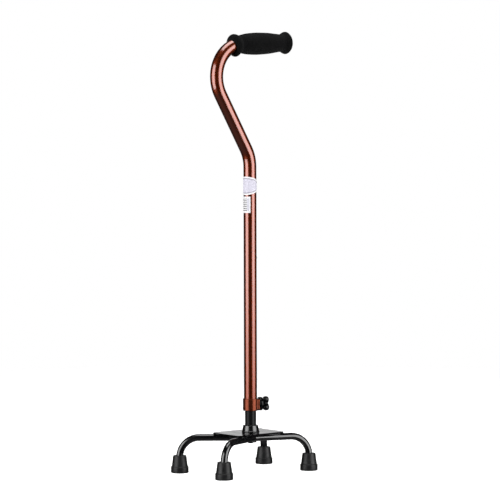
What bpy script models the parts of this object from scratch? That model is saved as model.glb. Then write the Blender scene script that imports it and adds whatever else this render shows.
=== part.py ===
"""An offset-handled quad walking cane, built as separate pieces.

Sizes are in millimetres and are turned into metres when a mesh is made. The origin is on the
floor, at the centre of the rectangle of the four rubber tips. +X runs from the offset bend
towards the free end of the grip, +Y towards the wide side of the base, and +Z is up.
"""

import math

import bmesh
import bpy
from mathutils import Matrix, Vector

MM = 0.001
GAP = 0.3  # clearance between pieces that touch on the real cane
MATERIALS = {}  # filled by make_materials

# Feet: the tips stand at (+-FOOT_X, +-FOOT_Y), and the shaft is nearer the two on the -Y side.
FOOT_X = 94.0
FOOT_Y = 60.0
SHAFT_Y = -16.4
TIP_BAND_R = 15.1
TIP_BAND_TOP = 11.0
TIP_CONE_R = 13.7
TIP_TOP_R = 11.3
TIP_TOP = 29.8
TIP_FLOOR = 7.0
TIP_EDGE = 0.8  # chamfer
TIP_MOUTH = (0.5, 3.0)  # how much wider the bore is at the top, and the depth of that taper
TIP_STEP = 0.3  # height of the slope between the band and the cone
TIP_WASHER_THICK = 1.2
TIP_WASHER_HOLE_R = 2.5
TIP_WASHER_R = 5.8

# Leg tubes: each is one bent tube from tip to tip, with its apex beside the base bolt.
LEG_R = 6.0
LEG_WALL = 1.2
LEG_Z = 60.0
LEG_BEND_R = 33.0
LEG_APEX_R = 25.0
OUTER_VERTEX = 3.0  # where the arms' centre lines would cross, in Y from the shaft axis
INNER_VERTEX = -8.2

# Base plate
PLATE_X = 104.0
PLATE_Y = 73.0
PLATE_THICK = 2.5
PLATE_CORNER_R = 8.0
PLATE_SHIFT = 6.0  # of its centre from the shaft axis, in +Y
PLATE_BOTTOM = LEG_Z + LEG_R + GAP
PLATE_TOP = PLATE_BOTTOM + PLATE_THICK

# Base bolt, M6 with a low round head, and its thick washer under both leg tubes
BOLT_R = 3.0
BOLT_HEAD_R = 5.2
BOLT_HEAD_HIGH = 1.5
BOLT_DOME = (3.2, 4.6)  # radii of the head's flat end and of the shoulder above it
BOLT_DOME_HIGH = 0.6
BOLT_TOP = 86.0
BOLT_SOCKET_R = 2.3
BOLT_SOCKET_DEEP = 2.0
BOLT_EDGE = 0.4  # height of the head's straight rim
BOLT_POINT = 1.0  # chamfer of the end
WASHER_R = 10.0
WASHER_THICK = 2.0
WASHER_TOP = LEG_Z - LEG_R - GAP
HOLE_CLEARANCE = 0.3

# Cutters for holes: how far they pass a face, and where those through a tube's wall begin and end
CUT_PAST = 5.0
WALL_CUT = (2.0, 20.0)

# Lower tube, 3/4 inch, with the pieces that fasten it to the base
LOWER_R = 9.525
LOWER_BORE_R = 8.0
LOWER_BOTTOM = PLATE_TOP + GAP
LOWER_TOP = 403.0
BOOT_BOTTOM_R = 15.2
BOOT_TOP_R = 12.7
BOOT_HIGH = 12.1
BOOT_EDGE = 0.7  # chamfer
BOOT_SKIRT = 2.2  # height of its widest part
ANCHOR_TOP = 97.0
ANCHOR_HOLE_TOP = 88.0
RIVET_Z = 92.5
RIVET_R = 1.6
RIVET_FROM = 2.3  # its inner end, from the shaft axis
RIVET_HEAD_R = 3.2
RIVET_HEAD_HIGH = 1.2
RIVET_DOME = (2.6, 0.8)  # radius and height where the head's dome begins
RIVET_ANGLE = math.radians(50.0)
CAP_RIM_R = 9.7
CAP_RIM_HIGH = 3.5
CAP_PLUG_LONG = 8.0
CAP_EDGE = 1.0

# Upper tube, 7/8 inch, and its height holes
UPPER_R = 11.1
UPPER_BORE_R = 10.1
UPPER_BOTTOM = 110.5
HOLE_R = 3.3
HOLE_PITCH = 19.05
HOLE_COUNT = 13
BUTTON_Z = 367.0

# Offset handle, in the XZ plane through the shaft axis
LEAN = math.radians(31.3)
LEAN_VERTEX_Z = 538.0
LEAN_BEND_R = 60.0
GRIP_RISE = math.radians(3.2)
GRIP_VERTEX = (-113.1, 724.0)
GRIP_BEND_R = 56.7
TUBE_END_X = 74.0
PLUG_LONG = 12.0
PLUG_RIM_THICK = 2.0
PLUG_RIM_R = 10.9
PLUG_EDGE = 1.0  # chamfer of its inner end

# Foam grip outline: distance along the tube from the end of its upper bend, and radius
GRIP_BORE_END = 95.6
GRIP_START_R = 13.4
GRIP_LIP = 0.4  # how far the mouth lies before the outline's first point
GRIP_BORE_STEPS = (0.0, 0.33, 0.67)  # shares of the way round the bend with a ring in the bore
GRIP_OUTLINE = (
    (-20.0, 14.2),
    (-17.8, 17.8),
    (-14.5, 19.2),
    (-9.8, 17.3),
    (-5.0, 14.9),
    (3.0, 16.3),
    (14.0, 17.9),
    (34.0, 18.85),
    (58.0, 18.0),
    (74.0, 16.3),
    (88.0, 15.1),
    (94.4, 17.7),
    (98.2, 19.2),
    (100.9, 17.6),
)
GRIP_END = 101.3
GRIP_END_R = 15.5
GRIP_FOLLOW = 0.42  # share of the bend that the foam's own cross-sections turn through

# Collar at the foot of the upper tube, with a square lug for the thumbscrew
COLLAR_BOTTOM = 106.0
COLLAR_TOP = 126.8
COLLAR_R = 13.0
COLLAR_EDGE = 0.6  # chamfer
SCREW_ANGLE = math.radians(-23.0)
SCREW_Z = 117.2
LUG_HALF_WIDE = 9.5
LUG_CORNER_R = 3.0
LUG_INSET = 0.4  # of its top and bottom from the collar's
LUG_FROM = 4.0
LUG_END = 14.0
LUG_EDGE = 0.8  # chamfer
LUG_BORE_R = 3.6
INSERT_R = 4.2
INSERT_BORE_R = 3.3
INSERT_FROM = 11.8
INSERT_TO = 13.9

# Thumbscrew, measured outwards from the shaft axis along the lug
PAD_R = 2.9
PAD_LONG = 2.4
STUD_R = 2.95
STUD_END = 27.5
KNOB_FROM = LUG_END + 0.4
KNOB_RIM_R = 11.6
KNOB_RIM_THICK = 5.4
KNOB_EDGE = 0.8  # chamfer of the round rim
KNOB_END = 31.6
KNOB_DISH = 0.8  # how deep the end face is hollowed
KNOB_LOBE_R = 13.3
KNOB_VALLEY_R = 6.4
KNOB_LOBES = 3
KNOB_LOBE_TURN = math.radians(-40.0)  # of the first lobe, from straight down
KNOB_VALLEY_DROP = 1.6  # how far the valleys fall short of the lobes at the end
# Size of the lobed part: share of the way from the rim to the end, and scale
KNOB_LOBE_SCALES = ((0.07, 0.84), (0.3, 0.97), (0.55, 1.0), (0.9, 0.92), (1.0, 0.72))

# Snap button and its leaf spring, inside the lower tube
BUTTON_R = 3.0
BUTTON_WINDOW_R = 3.2
BUTTON_TIP = 14.0
BUTTON_RIM_R = 3.9
BUTTON_RIM = (5.7, 6.6)
BUTTON_DOME = ((1.0, 1.5), (0.85, 0.6), (0.5, 0.1), (0.0, 0.0))  # share of its radius, below its tip
LEAF_WIDE = 6.0
LEAF_THICK = 0.8
LEAF_FRONT_X = 5.0
LEAF_BACK_X = -6.4
LEAF_TOP = 373.0
LEAF_BEND_Z = 342.0
LEAF_BEND_SHARE = 0.99  # of half the distance between the leaves, leaving a short flat between bends

# Labels on the upper tube: angles in plan, and heights
LABEL_THICK = 0.25
UPPER_LABEL_Z = (473.8, 505.0)
UPPER_LABEL_ANGLES = (math.radians(-323.0), math.radians(-27.0))
LOWER_LABEL_Z = (443.5, 471.1)
LOWER_LABEL_ANGLES = (math.radians(-225.0), math.radians(-126.0))

# Fineness of the meshes
TUBE_SIDES = 20
LEG_SIDES = 16
SMALL_SIDES = 16
HOLE_SIDES = 12
KNOB_SIDES = 36
CORNER_STEPS = 4
TUBE_ARC_STEP = math.radians(9.0)
LEG_ARC_STEP = math.radians(15.0)
LEAF_ARC_STEP = math.radians(22.5)


# ---------------------------------------------------------------- scene and materials


def clear_scene():
    for old in list(bpy.data.objects):
        bpy.data.objects.remove(old, do_unlink=True)


def make_material(name, colour, roughness, metallic=0.0, coat=0.0):
    material = bpy.data.materials.new(name)
    material.use_nodes = True
    shader = material.node_tree.nodes["Principled BSDF"]
    shader.inputs["Base Color"].default_value = (*colour, 1.0)
    shader.inputs["Roughness"].default_value = roughness
    shader.inputs["Metallic"].default_value = metallic
    shader.inputs["Coat Weight"].default_value = coat
    return material


def make_frame(name, parent=None, matrix=None):
    """An empty that holds the pieces of one moving body, on its joint's axis."""
    frame = bpy.data.objects.new(name, None)
    bpy.context.scene.collection.objects.link(frame)
    frame.parent = parent
    if matrix:
        frame.matrix_local = matrix
    return frame


def millimetres(x, y, z):
    return Matrix.Translation(Vector((x, y, z)) * MM)


def add_piece(name, bm, material, frame, smooth=True):
    """Makes the object, in metres, with its faces pointing out."""
    bmesh.ops.recalc_face_normals(bm, faces=bm.faces)
    bmesh.ops.scale(bm, vec=(MM, MM, MM), verts=bm.verts)
    mesh = bpy.data.meshes.new(name)
    bm.to_mesh(mesh)
    bm.free()
    if smooth:
        mesh.shade_smooth()
        mesh.set_sharp_from_angle(angle=math.radians(35.0))
    piece = bpy.data.objects.new(name, mesh)
    bpy.context.scene.collection.objects.link(piece)
    piece.parent = frame
    piece.data.materials.append(material)
    return piece


def add_helper(name, bm, frame, place=None):
    """A hidden body for a Boolean."""
    helper = add_piece(name, bm, MATERIALS["black_plastic"], frame, smooth=False)
    helper.hide_render = True
    helper.display_type = "WIRE"
    if place:
        helper.matrix_local = place
    return helper


def combine(piece, helper, operation="DIFFERENCE"):
    boolean = piece.modifiers.new(helper.name, "BOOLEAN")
    boolean.operation = operation
    boolean.solver = "EXACT"
    boolean.object = helper


# ---------------------------------------------------------------- shapes


def circle(centre, side, up, radius, sides):
    """Points round a centre, from the side direction towards the up direction."""
    turns = [2 * math.pi * k / sides for k in range(sides)]
    return [centre + radius * (math.cos(t) * side + math.sin(t) * up) for t in turns]


def join_rings(bm, ring, following):
    """Faces between two rings, either of which may be a single point."""
    if len(ring) == len(following) == 1:
        return
    count = max(len(ring), len(following))
    for k in range(count):
        after = (k + 1) % count
        corners = [ring[k % len(ring)], ring[after % len(ring)]]
        corners += [following[after % len(following)], following[k % len(following)]]
        bm.faces.new(list(dict.fromkeys(corners)))


def lofted(rings):
    """A closed body through rings of points, the last of them joined to the first."""
    bm = bmesh.new()
    loops = [[bm.verts.new(point) for point in ring] for ring in rings]
    for loop, following in zip(loops, loops[1:] + loops[:1]):
        join_rings(bm, loop, following)
    return bm


def turned(outline, sides):
    """A closed outline of (radius, height) turned about Z."""
    side, up = Vector((1, 0, 0)), Vector((0, 1, 0))
    rings = []
    for radius, height in outline:
        centre = Vector((0, 0, height))
        rings.append(circle(centre, side, up, radius, sides) if radius else [centre])
    return lofted(rings)


def rod(radius, low, high, sides=SMALL_SIDES):
    return turned([(0, low), (radius, low), (radius, high), (0, high)], sides)


def sleeve(bore, radius, low, high, sides, chamfer=0.0):
    """A ring or tube along Z, with its outer corners cut by the chamfer."""
    outline = [(bore, low), (radius - chamfer, low), (radius, low + chamfer)]
    outline += [(radius, high - chamfer), (radius - chamfer, high), (bore, high)]
    return turned(list(dict.fromkeys(outline)), sides)


def rounded_path(corners, radii, arc_step):
    """Points and directions along straight runs joined by arcs, one radius per inner corner."""
    points, directions = [corners[0]], [(corners[1] - corners[0]).normalized()]
    for before, corner, after, radius in zip(corners, corners[1:], corners[2:], radii):
        inward = (corner - before).normalized()
        outward = (after - corner).normalized()
        turn = inward.angle(outward)
        axis = inward.cross(outward).normalized()
        start = corner - inward * radius * math.tan(turn / 2)
        centre = start + axis.cross(inward) * radius
        steps = max(2, round(turn / arc_step))
        for k in range(steps + 1):
            rotation = Matrix.Rotation(turn * k / steps, 3, axis)
            points.append(centre + rotation @ (start - centre))
            directions.append(rotation @ inward)
    points.append(corners[-1])
    directions.append((corners[-1] - corners[-2]).normalized())
    return points, directions


def carried_sides(directions, first_side):
    """A side direction for each point of a path, turned with it and never twisted."""
    sides = [first_side.normalized()]
    for before, after in zip(directions, directions[1:]):
        sides.append(before.rotation_difference(after) @ sides[-1])
    return sides


def bent_tube(points, directions, first_side, radius, bore, sides):
    """An open-ended tube along a path."""
    across = carried_sides(directions, first_side)
    places = list(zip(points, directions, across))
    outer = [circle(p, s, d.cross(s), radius, sides) for p, d, s in places]
    inner = [circle(p, s, d.cross(s), bore, sides) for p, d, s in reversed(places)]
    return lofted(outer + inner)


def smooth_outline(points, per_span):
    """Points on a Catmull-Rom curve through an outline."""
    known = [Vector(p) for p in points]
    known = [2 * known[0] - known[1], *known, 2 * known[-1] - known[-2]]
    curve = []
    for a, b, c, d in zip(known, known[1:], known[2:], known[3:]):
        for k in range(per_span):
            t = k / per_span
            bend = (2 * a - 5 * b + 4 * c - d) * t**2
            twist = (3 * b - a - 3 * c + d) * t**3
            curve.append((2 * b + (c - a) * t + bend + twist) / 2)
    return [*curve, known[-2]]


def rounded_rectangle(half_x, half_y, corner):
    """Points round a rectangle with round corners, centred on the origin."""
    outline = []
    for quarter, (sx, sy) in enumerate(((1, 1), (-1, 1), (-1, -1), (1, -1))):
        for k in range(CORNER_STEPS + 1):
            turn = math.radians(90.0 * (quarter + k / CORNER_STEPS))
            x = sx * (half_x - corner) + corner * math.cos(turn)
            y = sy * (half_y - corner) + corner * math.sin(turn)
            outline.append((x, y))
    return outline


def arc_patch(radius, thick, angles, heights, step):
    """A curved sheet on a cylinder about Z, between two angles."""
    start, end = angles
    low, high = (Vector((0, 0, z)) for z in heights)
    steps = math.ceil((end - start) / step)
    rings = []
    for k in range(steps + 1):
        turn = start + (end - start) * k / steps
        out = Vector((math.cos(turn), math.sin(turn), 0))
        near, far = out * radius, out * (radius + thick)
        rings.append([near + low, far + low, far + high, near + high])
    bm = bmesh.new()
    loops = [[bm.verts.new(point) for point in ring] for ring in rings]
    for loop, following in zip(loops, loops[1:]):
        join_rings(bm, loop, following)
    bm.faces.new(loops[0])
    bm.faces.new(loops[-1])
    return bm


# ---------------------------------------------------------------- base


def make_tip(name, x, y, frame):
    bore = LEG_R + GAP
    outline = [
        (0, 0),
        (TIP_BAND_R - TIP_EDGE, 0),
        (TIP_BAND_R, TIP_EDGE),
        (TIP_BAND_R, TIP_BAND_TOP - TIP_EDGE),
        (TIP_BAND_R - TIP_EDGE, TIP_BAND_TOP),
        (TIP_CONE_R, TIP_BAND_TOP + TIP_STEP),
        (TIP_TOP_R, TIP_TOP - TIP_EDGE),
        (TIP_TOP_R - TIP_EDGE, TIP_TOP),
        (bore + TIP_MOUTH[0], TIP_TOP),
        (bore, TIP_TOP - TIP_MOUTH[1]),
        (bore, TIP_FLOOR),
        (0, TIP_FLOOR),
    ]
    rubber = turned(outline, LEG_SIDES)
    tip = add_piece(f"foot_tip_{name}", rubber, MATERIALS["tip_rubber"], frame)
    tip.matrix_local = millimetres(x, y, 0)
    low = TIP_FLOOR + GAP
    disc = sleeve(TIP_WASHER_HOLE_R, TIP_WASHER_R, low, low + TIP_WASHER_THICK, SMALL_SIDES)
    washer = add_piece(f"tip_washer_{name}", disc, MATERIALS["zinc"], frame)
    washer.matrix_local = millimetres(x, y, 0)


def make_leg_tube(name, foot_y, vertex_y, frame):
    low = TIP_FLOOR + GAP + TIP_WASHER_THICK + GAP
    corners = [
        Vector((-FOOT_X, foot_y, low)),
        Vector((-FOOT_X, foot_y, LEG_Z)),
        Vector((0, SHAFT_Y + vertex_y, LEG_Z)),
        Vector((FOOT_X, foot_y, LEG_Z)),
        Vector((FOOT_X, foot_y, low)),
    ]
    radii = (LEG_BEND_R, LEG_APEX_R, LEG_BEND_R)
    points, directions = rounded_path(corners, radii, LEG_ARC_STEP)
    along = (corners[2] - corners[1]).normalized()
    tube = bent_tube(points, directions, along, LEG_R, LEG_R - LEG_WALL, LEG_SIDES)
    add_piece(name, tube, MATERIALS["gloss_black"], frame)


def make_plate(frame):
    outline = rounded_rectangle(PLATE_X / 2, PLATE_Y / 2, PLATE_CORNER_R)
    centre_y = SHAFT_Y + PLATE_SHIFT
    bm = bmesh.new()
    face = bm.faces.new([bm.verts.new((x, y + centre_y, PLATE_BOTTOM)) for x, y in outline])
    extruded = bmesh.ops.extrude_face_region(bm, geom=[face])["geom"]
    risen = [item for item in extruded if isinstance(item, bmesh.types.BMVert)]
    bmesh.ops.translate(bm, vec=(0, 0, PLATE_THICK), verts=risen)
    plate = add_piece("base_plate", bm, MATERIALS["gloss_black"], frame, smooth=False)
    hole = rod(BOLT_R + HOLE_CLEARANCE, PLATE_BOTTOM - CUT_PAST, PLATE_TOP + CUT_PAST)
    combine(plate, add_helper("cut_plate_bolt_hole", hole, frame, millimetres(0, SHAFT_Y, 0)))


def make_base_bolt(frame):
    head_top = WASHER_TOP - WASHER_THICK - GAP
    head_low = head_top - BOLT_HEAD_HIGH
    outline = [
        (0, head_low),
        (BOLT_DOME[0], head_low),
        (BOLT_DOME[1], head_low + BOLT_DOME_HIGH),
        (BOLT_HEAD_R, head_top - BOLT_EDGE),
        (BOLT_HEAD_R, head_top),
        (BOLT_R, head_top),
        (BOLT_R, BOLT_TOP - BOLT_POINT),
        (BOLT_R - BOLT_POINT, BOLT_TOP),
        (0, BOLT_TOP),
    ]
    bolt = add_piece("base_bolt", turned(outline, SMALL_SIDES), MATERIALS["black_steel"], frame)
    bolt.matrix_local = millimetres(0, SHAFT_Y, 0)
    socket = rod(BOLT_SOCKET_R, head_low - CUT_PAST, head_low + BOLT_SOCKET_DEEP, 6)
    combine(bolt, add_helper("cut_bolt_socket", socket, frame, millimetres(0, SHAFT_Y, 0)))
    low = WASHER_TOP - WASHER_THICK
    disc = sleeve(BOLT_R + HOLE_CLEARANCE, WASHER_R, low, WASHER_TOP, SMALL_SIDES)
    washer = add_piece("base_bolt_washer", disc, MATERIALS["black_steel"], frame)
    washer.matrix_local = millimetres(0, SHAFT_Y, 0)


def make_base(frame):
    make_plate(frame)
    make_leg_tube("leg_tube_outer", FOOT_Y, OUTER_VERTEX, frame)
    make_leg_tube("leg_tube_inner", -FOOT_Y, INNER_VERTEX, frame)
    make_tip("outer_left", -FOOT_X, FOOT_Y, frame)
    make_tip("outer_right", FOOT_X, FOOT_Y, frame)
    make_tip("inner_left", -FOOT_X, -FOOT_Y, frame)
    make_tip("inner_right", FOOT_X, -FOOT_Y, frame)
    make_base_bolt(frame)


# ---------------------------------------------------------------- lower shaft


def radial_frame(angle, z):
    """A frame on the shaft axis whose Z points outwards at an angle in plan."""
    turn = Matrix.Rotation(angle, 4, "Z") @ Matrix.Rotation(math.pi / 2, 4, "Y")
    return millimetres(0, 0, z) @ turn


def make_rivet(frame, holed_pieces):
    """A blind rivet through the tube wall into the anchor plug, on the back of the cane."""
    place = radial_frame(RIVET_ANGLE, RIVET_Z)
    head_from = LOWER_R + GAP
    outline = [
        (0, RIVET_FROM),
        (RIVET_R, RIVET_FROM),
        (RIVET_R, head_from),
        (RIVET_HEAD_R, head_from),
        (RIVET_DOME[0], head_from + RIVET_DOME[1]),
        (0, head_from + RIVET_HEAD_HIGH),
    ]
    rivet = add_piece("anchor_rivet", turned(outline, SMALL_SIDES), MATERIALS["black_steel"], frame)
    rivet.matrix_local = place
    hole = add_helper("cut_rivet_hole", rod(RIVET_R + GAP, *WALL_CUT), frame, place)
    for piece in holed_pieces:
        combine(piece, hole)


def make_lower_tube(frame):
    pipe = sleeve(LOWER_BORE_R, LOWER_R, LOWER_BOTTOM, LOWER_TOP, TUBE_SIDES)
    tube = add_piece("lower_tube", pipe, MATERIALS["satin_black"], frame)
    window = rod(BUTTON_WINDOW_R, *WALL_CUT)
    combine(tube, add_helper("cut_button_window", window, frame, radial_frame(0.0, BUTTON_Z)))
    return tube


def make_anchor_plug(frame):
    bore = BOLT_R + HOLE_CLEARANCE
    outline = [
        (bore, LOWER_BOTTOM),
        (LOWER_BORE_R - GAP, LOWER_BOTTOM),
        (LOWER_BORE_R - GAP, ANCHOR_TOP),
        (0, ANCHOR_TOP),
        (0, ANCHOR_HOLE_TOP),
        (bore, ANCHOR_HOLE_TOP),
    ]
    return add_piece("tube_anchor_plug", turned(outline, TUBE_SIDES), MATERIALS["zinc"], frame)


def make_boot(frame):
    bore = LOWER_R + GAP
    low = LOWER_BOTTOM
    top = low + BOOT_HIGH
    outline = [
        (bore, low),
        (BOOT_BOTTOM_R - BOOT_EDGE, low),
        (BOOT_BOTTOM_R, low + BOOT_EDGE),
        (BOOT_BOTTOM_R, low + BOOT_SKIRT),
        (BOOT_TOP_R, top - BOOT_EDGE),
        (BOOT_TOP_R - BOOT_EDGE, top),
        (bore, top),
    ]
    add_piece("base_boot", turned(outline, TUBE_SIDES), MATERIALS["gloss_plastic"], frame)


def make_guide_cap(frame):
    plug_r = LOWER_BORE_R - GAP
    rim = LOWER_TOP + GAP
    outline = [
        (0, LOWER_TOP - CAP_PLUG_LONG),
        (plug_r, LOWER_TOP - CAP_PLUG_LONG),
        (plug_r, rim),
        (CAP_RIM_R, rim),
        (CAP_RIM_R, rim + CAP_RIM_HIGH - CAP_EDGE),
        (CAP_RIM_R - CAP_EDGE, rim + CAP_RIM_HIGH),
        (0, rim + CAP_RIM_HIGH),
    ]
    add_piece("guide_cap", turned(outline, TUBE_SIDES), MATERIALS["nylon"], frame)


def make_leaf_spring(frame):
    """A bent strip that pushes the button out from the far wall."""
    bend_r = LEAF_BEND_SHARE * (LEAF_FRONT_X - LEAF_BACK_X) / 2
    corners = [
        Vector((LEAF_FRONT_X, 0, LEAF_TOP)),
        Vector((LEAF_FRONT_X, 0, LEAF_BEND_Z)),
        Vector((LEAF_BACK_X, 0, LEAF_BEND_Z)),
        Vector((LEAF_BACK_X, 0, LEAF_TOP)),
    ]
    points, directions = rounded_path(corners, (bend_r, bend_r), LEAF_ARC_STEP)
    wide = Vector((0, LEAF_WIDE / 2, 0))
    rings = []
    for point, direction in zip(points, directions):
        deep = direction.cross(wide).normalized() * LEAF_THICK / 2
        front, back = point + deep, point - deep
        rings.append([front + wide, front - wide, back - wide, back + wide])
    rings = [[points[0]], *rings, [points[-1]]]
    add_piece("button_spring", lofted(rings), MATERIALS["spring_steel"], frame)


def make_lower_shaft(frame):
    tube = make_lower_tube(frame)
    plug = make_anchor_plug(frame)
    make_rivet(frame, (tube, plug))
    make_boot(frame)
    make_guide_cap(frame)
    make_leaf_spring(frame)


def make_button(frame):
    back, front = BUTTON_RIM
    outline = [(0, back), (BUTTON_RIM_R, back), (BUTTON_RIM_R, front), (BUTTON_R, front)]
    outline += [(BUTTON_R * share, BUTTON_TIP - drop) for share, drop in BUTTON_DOME]
    add_piece("snap_button", turned(outline, SMALL_SIDES), MATERIALS["bright_steel"], frame)


# ---------------------------------------------------------------- handle


def handle_corners(bottom):
    """The corners of the upper tube's centre line, from its foot to the end in the grip."""
    vertex = Vector((GRIP_VERTEX[0], 0, GRIP_VERTEX[1]))
    along = Vector((math.cos(GRIP_RISE), 0, math.sin(GRIP_RISE)))
    end = vertex + along * (TUBE_END_X - vertex.x) / along.x
    return [Vector((0, 0, bottom)), Vector((0, 0, LEAN_VERTEX_Z)), vertex, end]


def grip_place(distance):
    """Centre, direction and heading of the handle tube, past the end of its upper bend."""
    vertex = Vector((GRIP_VERTEX[0], 0, GRIP_VERTEX[1]))
    along = Vector((math.cos(GRIP_RISE), 0, math.sin(GRIP_RISE)))
    turn = math.pi / 2 + LEAN - GRIP_RISE
    bend_end = vertex + along * GRIP_BEND_R * math.tan(turn / 2)
    if distance >= 0:
        return bend_end + along * distance, along, GRIP_RISE
    heading = GRIP_RISE - distance / GRIP_BEND_R
    down = Vector((math.sin(GRIP_RISE), 0, -math.cos(GRIP_RISE)))
    centre = bend_end + down * GRIP_BEND_R
    place = centre + Vector((-math.sin(heading), 0, math.cos(heading))) * GRIP_BEND_R
    return place, Vector((math.cos(heading), 0, math.sin(heading))), heading


def make_upper_tube(frame):
    radii = (LEAN_BEND_R, GRIP_BEND_R)
    points, directions = rounded_path(handle_corners(UPPER_BOTTOM), radii, TUBE_ARC_STEP)
    pipe = bent_tube(points, directions, Vector((0, 1, 0)), UPPER_R, UPPER_BORE_R, TUBE_SIDES)
    tube = add_piece("upper_tube", pipe, MATERIALS["bronze"], frame)
    for k in range(HOLE_COUNT):
        place = radial_frame(0.0, BUTTON_Z - k * HOLE_PITCH)
        hole = rod(HOLE_R, *WALL_CUT, HOLE_SIDES)
        combine(tube, add_helper(f"cut_height_hole_{k:02d}", hole, frame, place))
    window = rod(LUG_BORE_R, *WALL_CUT, HOLE_SIDES)
    combine(tube, add_helper("cut_screw_window", window, frame, radial_frame(SCREW_ANGLE, SCREW_Z)))


def foam_ring(distance, radius):
    """A cross-section of the foam's outside, which turns less than the tube does."""
    centre, _, heading = grip_place(distance)
    turn = GRIP_RISE + GRIP_FOLLOW * (heading - GRIP_RISE)
    across = Vector((0, 1, 0))
    direction = Vector((math.cos(turn), 0, math.sin(turn)))
    return circle(centre, across, direction.cross(across), radius, TUBE_SIDES)


def make_foam_grip(frame):
    across = Vector((0, 1, 0))
    outer = [foam_ring(distance, radius) for distance, radius in smooth_outline(GRIP_OUTLINE, 2)]
    centre, direction, _ = grip_place(GRIP_END)
    outer.append(circle(centre, across, direction.cross(across), GRIP_END_R, TUBE_SIDES))
    outer.append([centre])
    start = GRIP_OUTLINE[0][0]
    mouth = start - GRIP_LIP
    inner = [[grip_place(GRIP_BORE_END)[0]]]
    for distance in (GRIP_BORE_END, *(start * share for share in GRIP_BORE_STEPS), mouth):
        place, direction, _ = grip_place(distance)
        inner.append(circle(place, across, direction.cross(across), UPPER_R + GAP, TUBE_SIDES))
    rings = [*inner, foam_ring(mouth, GRIP_START_R), *outer]
    add_piece("foam_grip", lofted(rings), MATERIALS["foam"], frame)


def make_tube_plug(frame):
    """A plug in the end of the handle tube, under the foam."""
    end = handle_corners(UPPER_BOTTOM)[-1]
    place = Matrix.Translation(end * MM) @ Matrix.Rotation(math.pi / 2 - GRIP_RISE, 4, "Y")
    plug_r = UPPER_BORE_R - GAP
    outline = [
        (0, -PLUG_LONG),
        (plug_r - PLUG_EDGE, -PLUG_LONG),
        (plug_r, -PLUG_LONG + PLUG_EDGE),
        (plug_r, GAP),
        (PLUG_RIM_R, GAP),
        (PLUG_RIM_R, GAP + PLUG_RIM_THICK),
        (0, GAP + PLUG_RIM_THICK),
    ]
    plug = add_piece("handle_tube_plug", turned(outline, TUBE_SIDES), MATERIALS["black_plastic"], frame)
    plug.matrix_local = place


def make_lug():
    """A block with rounded corners, whose Z points outwards and X down."""
    top, bottom = SCREW_Z - COLLAR_TOP + LUG_INSET, SCREW_Z - COLLAR_BOTTOM - LUG_INSET
    rings = []
    for height, inset in ((LUG_FROM, 0), (LUG_END - LUG_EDGE, 0), (LUG_END, LUG_EDGE)):
        half_x = (bottom - top) / 2 - inset
        half_y = LUG_HALF_WIDE - inset
        outline = rounded_rectangle(half_x, half_y, LUG_CORNER_R - inset)
        rings.append([Vector((x + (top + bottom) / 2, y, height)) for x, y in outline])
    centre = Vector(((top + bottom) / 2, 0, 0))
    start, end = centre.copy(), centre.copy()
    start.z, end.z = LUG_FROM, LUG_END
    return lofted([[start], *rings, [end]])


def make_collar(frame):
    ring = sleeve(LOWER_R, COLLAR_R, COLLAR_BOTTOM, COLLAR_TOP, TUBE_SIDES, COLLAR_EDGE)
    collar = add_piece("collar", ring, MATERIALS["collar_bronze"], frame)
    place = radial_frame(SCREW_ANGLE, SCREW_Z)
    combine(collar, add_helper("add_collar_lug", make_lug(), frame, place), "UNION")
    low, high = COLLAR_BOTTOM - CUT_PAST, COLLAR_TOP + CUT_PAST
    tube_bore = rod(UPPER_R + GAP, low, high, TUBE_SIDES)
    combine(collar, add_helper("cut_collar_bore", tube_bore, frame))
    start, step, end = LUG_FROM, INSERT_FROM - GAP, LUG_END + CUT_PAST
    outline = [(0, start), (LUG_BORE_R, start), (LUG_BORE_R, step)]
    outline += [(INSERT_R + GAP, step), (INSERT_R + GAP, end), (0, end)]
    combine(collar, add_helper("cut_lug_bore", turned(outline, SMALL_SIDES), frame, place))
    nut = sleeve(INSERT_BORE_R, INSERT_R, INSERT_FROM, INSERT_TO, SMALL_SIDES)
    insert = add_piece("boss_insert", nut, MATERIALS["brass"], frame)
    insert.matrix_local = place
    low, high = COLLAR_BOTTOM + GAP, UPPER_BOTTOM - GAP
    ring = sleeve(LOWER_R + GAP, UPPER_R, low, high, TUBE_SIDES)
    add_piece("collar_bush", ring, MATERIALS["nylon"], frame)


def make_labels(frame):
    step = 2 * math.pi / TUBE_SIDES
    for name, angles, heights in (
        ("shaft_label_upper", UPPER_LABEL_ANGLES, UPPER_LABEL_Z),
        ("shaft_label_lower", LOWER_LABEL_ANGLES, LOWER_LABEL_Z),
    ):
        sheet = arc_patch(UPPER_R + GAP, LABEL_THICK, angles, heights, step)
        add_piece(name, sheet, MATERIALS["label"], frame)


def make_handle(frame):
    make_upper_tube(frame)
    make_foam_grip(frame)
    make_tube_plug(frame)
    make_collar(frame)
    make_labels(frame)


# ---------------------------------------------------------------- thumbscrew


def make_screw_pad(frame):
    low = LOWER_R + GAP
    add_piece("screw_pad", rod(PAD_R, low, low + PAD_LONG), MATERIALS["nylon"], frame)


def lobed_ring(height, scale, drop):
    """A cross-section of the knob: round lobes, with valleys that lie lower by the drop."""
    middle = (KNOB_LOBE_R + KNOB_VALLEY_R) / 2
    swing = (KNOB_LOBE_R - KNOB_VALLEY_R) / 2
    ring = []
    for k in range(KNOB_SIDES):
        turn = 2 * math.pi * k / KNOB_SIDES
        lobe = math.cos(KNOB_LOBES * (turn - KNOB_LOBE_TURN))
        radius = scale * (middle + swing * lobe)
        z = height - drop * (1 - lobe) / 2
        ring.append(Vector((radius * math.cos(turn), radius * math.sin(turn), z)))
    return ring


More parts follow.
